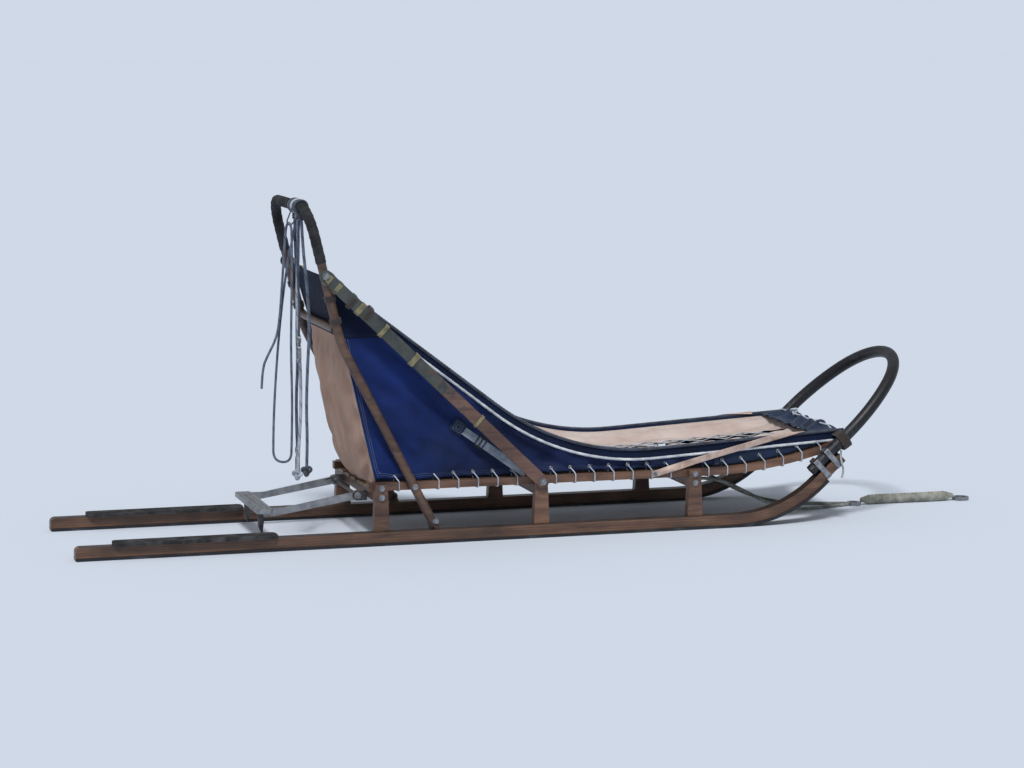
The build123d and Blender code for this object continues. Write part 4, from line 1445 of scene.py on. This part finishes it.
tie_both("frame_lashings", "hem_rope", lash_dark, (
    ("leg_0", (leg_x(0.636), bow_y, 0.636), leg_ways, *leg_half, 5, dark_cord),
    ("leg_1", (leg_x(0.700), bow_y, 0.700), leg_ways, *leg_half, 5, dark_cord),
    ("crossbar", (-0.5207, 0.2195, 0.610), bar_ways, 0.0111, 0.0111, 2, dark_cord),
    ("nose", (0.9965, 0.2318, 0.2395), nose_ways, 0.0225, 0.0318, 6, 0.0046),
    ("foot", (-0.247, bow_y, 0.052), foot_ways, *leg_half, 3, dark_cord),
))
print("lashings wound")

# %% [markdown]
# Lacing holds the bag to the rails. At each low point of the scallops there is an eyelet, and the cord
# goes out through it, down round the rail and up inside. It skips the posts, the crosspieces and the
# bow's legs. Over the top, one cord zigzags between the two flaps.

# %% Lacing and eyelets
rail_outer, rail_inner = 0.2253, 0.2013
skips = ((-0.400, 0.034), (-0.303, 0.026), (0.070, 0.034), (0.535, 0.034))    # x of wood, and room for it
lace = 0.0036
slant = 0.009
eyelet_wire = 0.0022
lace_count = 15


def circle(centre, radius, upright=True, count=14):
    """Corners of a ring, upright along the sled or level."""
    corners = []
    for number in range(count):
        turn = 2 * pi * number / count
        way = (cos(turn), 0, sin(turn)) if upright else (cos(turn), sin(turn), 0)
        corners.append(Vector(centre) + Vector(way) * radius)
    return corners


for side, sign in both_sides:
    turns, rings = [], []
    for number in range(1, 24):
        x = back_low.x + lace_pitch * number
        if x > 0.965 or any(abs(x - wood) < room for wood, room in skips):
            continue
        low, high = bed_level(x) - lace / 2, bed_level(x, rail_top) + lace / 2
        hole = bed_level(x, rail_top) + 0.0195
        if x > nose_start:
            hole = min(hole, (hem_level(x) + high) / 2 + 0.004)
        start = x - slant * 0.4
        outside, inside = rail_outer + lace / 2, rail_inner - lace / 2
        turn = ((start, bag_half + 0.0022, hole), (x + slant, outside, high), (x + slant, outside, low),
                (x + slant * 0.3, inside, low), (x, inside, high), (start, bag_half - 0.005, hole))
        turns.append([(forward, sign * y, z) for forward, y, z in turn])
        rings.append(circle((start, sign * (bag_half + 0.0004), hole), 0.0052))
    ride("line_rope_pale", wind("side_lacing_" + side, turns, lace_pale, lace, corner=0.003, wobble=0.0016))
    ride("ring_steel", wind("side_eyelets_" + side, rings, zinc, eyelet_wire, corner=0.0, wobble=0.0))
    print(side, "lacing has", len(turns), "loops")

crossing, rings = {1: [], -1: []}, []
for number in range(1, lace_count):
    x = flap_start + (flap_end - flap_start) * number / lace_count
    z = hem_level(x) - flap_tuck - flap_drop + 0.0034
    for hand in crossing:
        y = hand * (slit_half + 0.010)
        crossing[hand if number % 2 else -hand] += [(x - 0.003, y, z), (x + 0.003, y, z)]
        rings.append(circle((x, y, z - 0.0022), 0.0055, upright=False))
laces = [wind(f"flap_lace_{hand}", [path], lace_pale, 0.0030, corner=0.002, wobble=0.0008, closed=False)
         for hand, path in crossing.items()]
ride("line_rope_pale", merged("flap_lacing", laces))
ride("ring_steel", wind("flap_eyelets", rings, zinc, eyelet_wire, corner=0.0, wobble=0.0))

# %% [markdown]
# The lines hang from loops on the grip: each rope goes twice round the bar and is hitched round itself.
# Two end in snap hooks and two in an overhand knot, which is drawn with the formula of a trefoil, the
# simplest knot there is. A thinner spare line is doubled up, and a short sling holds its upper fold to
# the bar.

# %% Loops and hitches of the lines
grip_half = 0.0155
for name, diameter, *_ in lines:
    x, y, z = routes[name][0]
    yarn = lace_pale if name == "line_b" else rope_dark
    around = circle((bow_top.x, y - diameter * 0.36, bow_top.y), grip_half + diameter * 0.36, count=20)
    loop = wind(name + "_loop", [around], yarn, diameter * 0.72, 2, (0, diameter * 0.74, 0), 0.0, 0.0012)
    below = circle((x, y, z - 0.004), diameter * 0.70, upright=False, count=12)
    hitch = wind(name + "_hitch", [below], yarn, diameter * 0.6, 3, (0, 0, -diameter * 0.6), 0.0, 0.0012)
    tie = merged(name + "_tie", [loop, hitch])
    ride(line_slots[name], tie)
    if name == "line_a":
        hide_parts("line_rings")
print("loops tied")

# %% Knots and a hank of spare line


def knot(name, centre, size, diameter, material):
    """An overhand knot as a trefoil, standing upright."""
    count = 48
    corners = []
    for number in range(count):
        t = 2 * pi * number / count
        swing = Vector((sin(t) + 2 * sin(2 * t), -1.1 * sin(3 * t), cos(t) - 2 * cos(2 * t)))
        corners.append(Vector(centre) + swing * size)
    return wind(name, [corners], material, diameter, corner=0.0, wobble=0.0)


for name, yarn in (("line_b", lace_pale), ("line_c", rope_dark)):
    end = Vector(routes[name][-1]) - Vector((0, 0, 0.004))
    stopper = knot(name + "_knot", end, 0.0046, 0.0086, yarn)
    ride(line_slots[name], stopper)
    lay_cord(ropes[name], name, line_slots[name], [stopper])
lay_cord(ropes["spare_line"], "spare_line", line_slots["spare_line"])

sling_steps = ((0, 17.4), (13, 13), (17.4, 0), (12, -13), (-22, -52), (-31, -52), (-34, -42), (-17.4, 0),
               (-13, 13))
sling = [(bow_top.x + dx / 1000, -0.1190, bow_top.y + dz / 1000) for dx, dz in sling_steps]
hank_tie = wind("hank_tie", [sling], rope_dark, 0.0034, 2, (0, 0.0036, 0), corner=0.007, wobble=0.0008)
ride("line_rope", hank_tie)
print("spare line hung")

# %% [markdown]
# The bag is tied up to the braces near the bow, which takes the load's pull off the stitching. A webbing
# strap with a buckle runs down each side under the brace, and a drawcord gathers the nose. Webbing is a
# narrow panel, laid on a surface and thickened: a short function says where that surface is, so a strap
# can bridge a gap or go over a hem.

# %% Webbing and the surfaces it lies on
strap_low, strap_high = Vector((0.033, 0.178)), Vector((-0.171, 0.325))
strap_along = (strap_high - strap_low).normalized()
nose_low = Vector((0.410, hem_level(0.410) - 0.1615))
nose_high = Vector((0.885, -0.0163))
patch_size = 0.040


def band(name, low, high, width, surface, material):
    """Webbing laid straight between two places of a surface; surface(u, v) gives the point in space."""
    along = high - low
    aside = Vector((-along.y, along.x)).normalized() * width

    def spot(s, t):
        return surface(*(low + along * s + aside * (t - 0.5)))
    return thicken(panel(name, 44, 6, spot, material, 0.0018))


def on_side(side):
    """The surface of the long strap: the side cloth, with the strap lifted off it between its two ends."""
    def surface(x, z):
        lift = max(0.0, min(0.0085, 0.35 * (z - strap_low.y), 0.30 * (strap_high.y - z)))
        return x, side * (bag_half + 0.001 + lift), z
    return surface


def round_hem(side):
    """The surface of the nose strap: over the hem rope from the flap, down the side and over the rail."""
    def surface(x, down):
        z = hem_level(x) - down
        middle, reach = bag_half + 0.0048, 0.0062
        if down < -reach * pi / 2:
            inward = -down - reach * pi / 2
            return x, side * (middle - 0.93 * inward), hem_level(x) + reach - 0.36 * inward
        if down < 0:
            turn = -down / reach
            return x, side * (middle + reach * cos(turn)), hem_level(x) + reach * sin(turn)
        wall = middle + reach - 0.0030 * clamp(down / 0.03)
        over_rail = clamp((bed_level(x, rail_top) + 0.014 - z) / 0.012)
        return x, side * (wall + (rail_outer + 0.0048 - wall) * over_rail), z
    return surface


def pocket(side):
    """A patch over the long strap's upper end: sewn down on three edges, open where the strap goes in."""
    def place(s, t):
        wide = Vector((-strap_along.y, strap_along.x)) * patch_size * (t - 0.5)
        spot = strap_high + strap_along * patch_size * (s - 0.62) + wide
        bulge = 0.0066 * clamp(6 * t, 6 * (1 - t), 3 * (1 - s))
        return spot.x, side * (bag_half + 0.0006 + bulge), spot.y
    return place


print("webbing surfaces ready")

# %% Ties, straps and buckles
strap_grey = fibre("strap_grey", paint(92, 102, 118), paint(160, 170, 184), 0.8)
strap_tan = fibre("strap_tan", paint(150, 124, 112), paint(208, 186, 174), 0.85)
long_way, wide_way = tilted(*strap_along)
tie_in, tie_out = 0.2090, 0.2654      # from the sled's middle to a tie's inner and outer side
tie_turn = ((0.012, tie_in), (0.013, 0.2270), (0.006, tie_out), (-0.030, tie_out), (-0.030, 0.2490),
            (-0.010, tie_in))
for side, sign in both_sides:
    ties = []
    for number, x in enumerate((-0.473, -0.427)):
        middle = Vector((x, 0, hem_level(x) - 0.006))
        turn = [middle - brace_ways[1] * a + Vector((0, sign * b, 0)) for a, b in tie_turn]
        step = tuple(brace_ways[0] * 0.0046)
        ties.append(wind(f"hem_tie_{number}_{side}", [turn], lash_dark, 0.0044, 3, step, corner=0.008))
    ride("hem_rope", merged("hem_ties_" + side, ties))
    strap = band("side_strap_" + side, strap_low, strap_high, 0.024, on_side(sign), strap_grey)
    patch = thicken(panel("strap_patch_" + side, 12, 12, pocket(sign), navy_cloth, 0.0016))
    nose_strap = band("nose_strap_" + side, nose_low, nose_high, 0.019, round_hem(sign), strap_tan)
    middle = Vector(on_side(sign)(*strap_low.lerp(strap_high, 0.667)))
    outline = [middle + long_way * a + wide_way * b
               for a, b in ((0.013, 0.016), (0.013, -0.016), (-0.013, -0.016), (-0.013, 0.016))]
    bar = [middle + wide_way * 0.016, middle - wide_way * 0.016]
    buckle = merged("side_buckle_" + side, [
        wind("buckle_frame", [outline], brush_plastic, 0.0048, corner=0.004, wobble=0.0),
        wind("buckle_bar", [bar], brush_plastic, 0.0046, corner=0.0, wobble=0.0, closed=False),
    ])
    ride("line_rope_pale", strap)
    ride("brush_plastic", buckle)
    ride("bag_navy", patch)
    ride("flap_tan", nose_strap)
print("ties, straps and buckles made")

# %% Drawcord and its tails
lip_top = hem_level(tray_front)
gathers = [(tray_front - 0.020, 0.205, lip_top + 0.004)]
for number in range(1, 12):
    x = tray_front - 0.024 + 0.004 * cos(2.3 * number)
    gathers.append((x, 0.205 - 0.0342 * number, lip_top + 0.010))
gathers.append((tray_front - 0.020, -0.205, lip_top + 0.004))
drawcord = wind("nose_cord", [gathers], lace_pale, 0.0060, corner=0.010, wobble=0.001, closed=False)
drawcord_knot = knot("nose_knot", Vector(gathers[4]) + Vector((0, 0, 0.008)), 0.0038, 0.0056, lace_pale)
ride("line_rope_pale", merged("nose_drawcord", [drawcord, drawcord_knot]))
for name in ("nose_tail_left", "nose_tail_right"):
    tail = spline_of(name, routes[name], 0.006)
    yarn = plait(name + "_plait", paint(96, 106, 112), paint(176, 184, 186), 0.07, 0.006)
    tail.data.materials.append(yarn)
    lay_cord(tail, name, "line_rope_pale")
print("drawcord made")

# %% [markdown]
# Small hardware is one shape many times, and a tree that puts a head and a washer at each vertex of a
# carrier makes all of it. The carrier is a mesh of bare points. The heads face along one input
# direction, and each is turned by a random angle, since nobody lines up bolts. The brake's springs are
# the same idea with a spiral.

# %% Trees for bolts and springs
bolt_tree, given = new_tree("bolts", Head="Float", Height="Float", Washer="Float", Facing="Vector",
                            Seed="Int")
washer_depth = 0.0012
lifted = result(bolt_tree, "ShaderNodeCombineXYZ", {"Z": given["Height"] * 0.5 + washer_depth})
six_sided = {"Vertices": 6, "Radius": given["Head"] * 0.5, "Depth": given["Height"]}
hexagon = result(bolt_tree, "GeometryNodeMeshCylinder", six_sided, "Mesh")
cap = result(bolt_tree, "GeometryNodeTransform", {"Geometry": hexagon, "Translation": lifted})
flat_round = {"Vertices": 20, "Radius": given["Washer"], "Depth": washer_depth}
disc = result(bolt_tree, "GeometryNodeMeshCylinder", flat_round, "Mesh")
raised = {"Geometry": disc, "Translation": (0, 0, washer_depth / 2)}
under = result(bolt_tree, "GeometryNodeTransform", raised)
both = put(bolt_tree, "GeometryNodeJoinGeometry", {})
for part in (cap, under):
    bolt_tree.links.new(part.socket, both.inputs[0])
facing = result(bolt_tree, "FunctionNodeAlignRotationToVector", {"Vector": given["Facing"]}, axis="Z")
chance = {"Min": (0, 0, 0), "Max": (0, 0, 2 * pi), "Seed": given["Seed"]}
spun = result(bolt_tree, "FunctionNodeRandomValue", chance, data_type="FLOAT_VECTOR")
spin = result(bolt_tree, "FunctionNodeEulerToRotation", {0: spun})
turned = result(bolt_tree, "FunctionNodeRotateRotation", {0: facing, 1: spin}, rotation_space="LOCAL")
placing = {"Points": given["Geometry"], "Instance": Flow(bolt_tree, both.outputs[0]), "Rotation": turned}
close_tree(bolt_tree, given, result(bolt_tree, "GeometryNodeInstanceOnPoints", placing))

coil_tree, given = new_tree("coils", Turns="Float", Wire="Float", Radius="Float", Length="Float")
helix = {"Resolution": 28, "Rotations": given["Turns"], "Start Radius": given["Radius"],
         "End Radius": given["Radius"], "Height": given["Length"]}
spiral = result(coil_tree, "GeometryNodeCurveSpiral", helix)
lying = result(coil_tree, "GeometryNodeTransform", {"Geometry": spiral, "Rotation": (-pi / 2, 0, 0)})
placing = {"Points": given["Geometry"], "Instance": lying}
placed = result(coil_tree, "GeometryNodeInstanceOnPoints", placing)
real = result(coil_tree, "GeometryNodeRealizeInstances", {0: placed})
thickness = {"Resolution": 8, "Radius": given["Wire"] * 0.5}
wire_ring = result(coil_tree, "GeometryNodeCurvePrimitiveCircle", thickness)
close_tree(coil_tree, given, swept(coil_tree, real, wire_ring))
print("bolt tree has", len(bolt_tree.nodes), "nodes, coil tree", len(coil_tree.nodes))

# %% Bolts and springs
pin_x, pin_z = -0.446, 0.128
spring_in, spring_out = 0.1048, 0.1362      # from the sled's middle to a spring's two ends
spring_wire = 0.0026


def dots(name, points):
    """A carrier of bare points."""
    mesh = bpy.data.meshes.new(name)
    mesh.from_pydata(points, [], [])
    return show(name, mesh)


bolt_rows = (             # name, distance from the middle, head, height, washer, seed, x and z of each bolt
    ("post_bolts", 0.2513, 0.013, 0.0045, 0.0088, 3, (
        (-0.400, 0.161), (0.535, 0.161), (-0.400, 0.135), (0.535, 0.135), (-0.3025, 0.161),
        (-0.2435, 0.060),
    )),
    ("brace_bolts", 0.2636, 0.015, 0.0055, 0.0105, 7, (brace_low, brace_high)),
    ("pin_ends", 0.153, 0.017, 0.004, 0.010, 5, ((pin_x, pin_z),)),
    ("strap_rivets", rail_outer + 0.0056, 0.010, 0.002, 0.0070, 9, ((0.4200, 0.1636),)),
)
bolts = []
for side, sign in both_sides:
    for name, y, head, height, washer, seed, spots in bolt_rows:
        carrier = dots(name, [(x, sign * y, z) for x, z in spots])
        bolt = grow(carrier, bolt_tree, zinc, Head=head, Height=height, Washer=washer,
                    Facing=(0, sign, 0), Seed=seed)
        bolt.data.shade_flat()
        bolts.append(bolt)
ride("ring_steel", merged("frame_bolts", bolts))

spring_ends = (           # name, distance from the middle, x and z of its corners
    ("spring_leg", spring_in, ((pin_x, 0.1214), (-0.432, 0.1176), (-0.405, 0.1176))),
    ("spring_foot", spring_out, ((pin_x, 0.1346), (-0.462, 0.1334), (-0.476, 0.1290))),
)
coils = dots("brake_coils", [(pin_x, spring_in, pin_z), (pin_x, -spring_out, pin_z)])
springs = [grow(coils, coil_tree, forged, Turns=9.0, Wire=spring_wire, Radius=0.0066,
                Length=spring_out - spring_in)]
for side, sign in both_sides:
    for name, y, corners in spring_ends:
        bent = [(x, sign * y, z) for x, z in corners]
        springs.append(wind(name, [bent], forged, spring_wire, corner=0.004, wobble=0.0, closed=False))
brake_springs = merged("brake_coil_springs", springs)
ride("brake_steel", brake_springs)
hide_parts("brake_springs")
print("bolts and springs made")
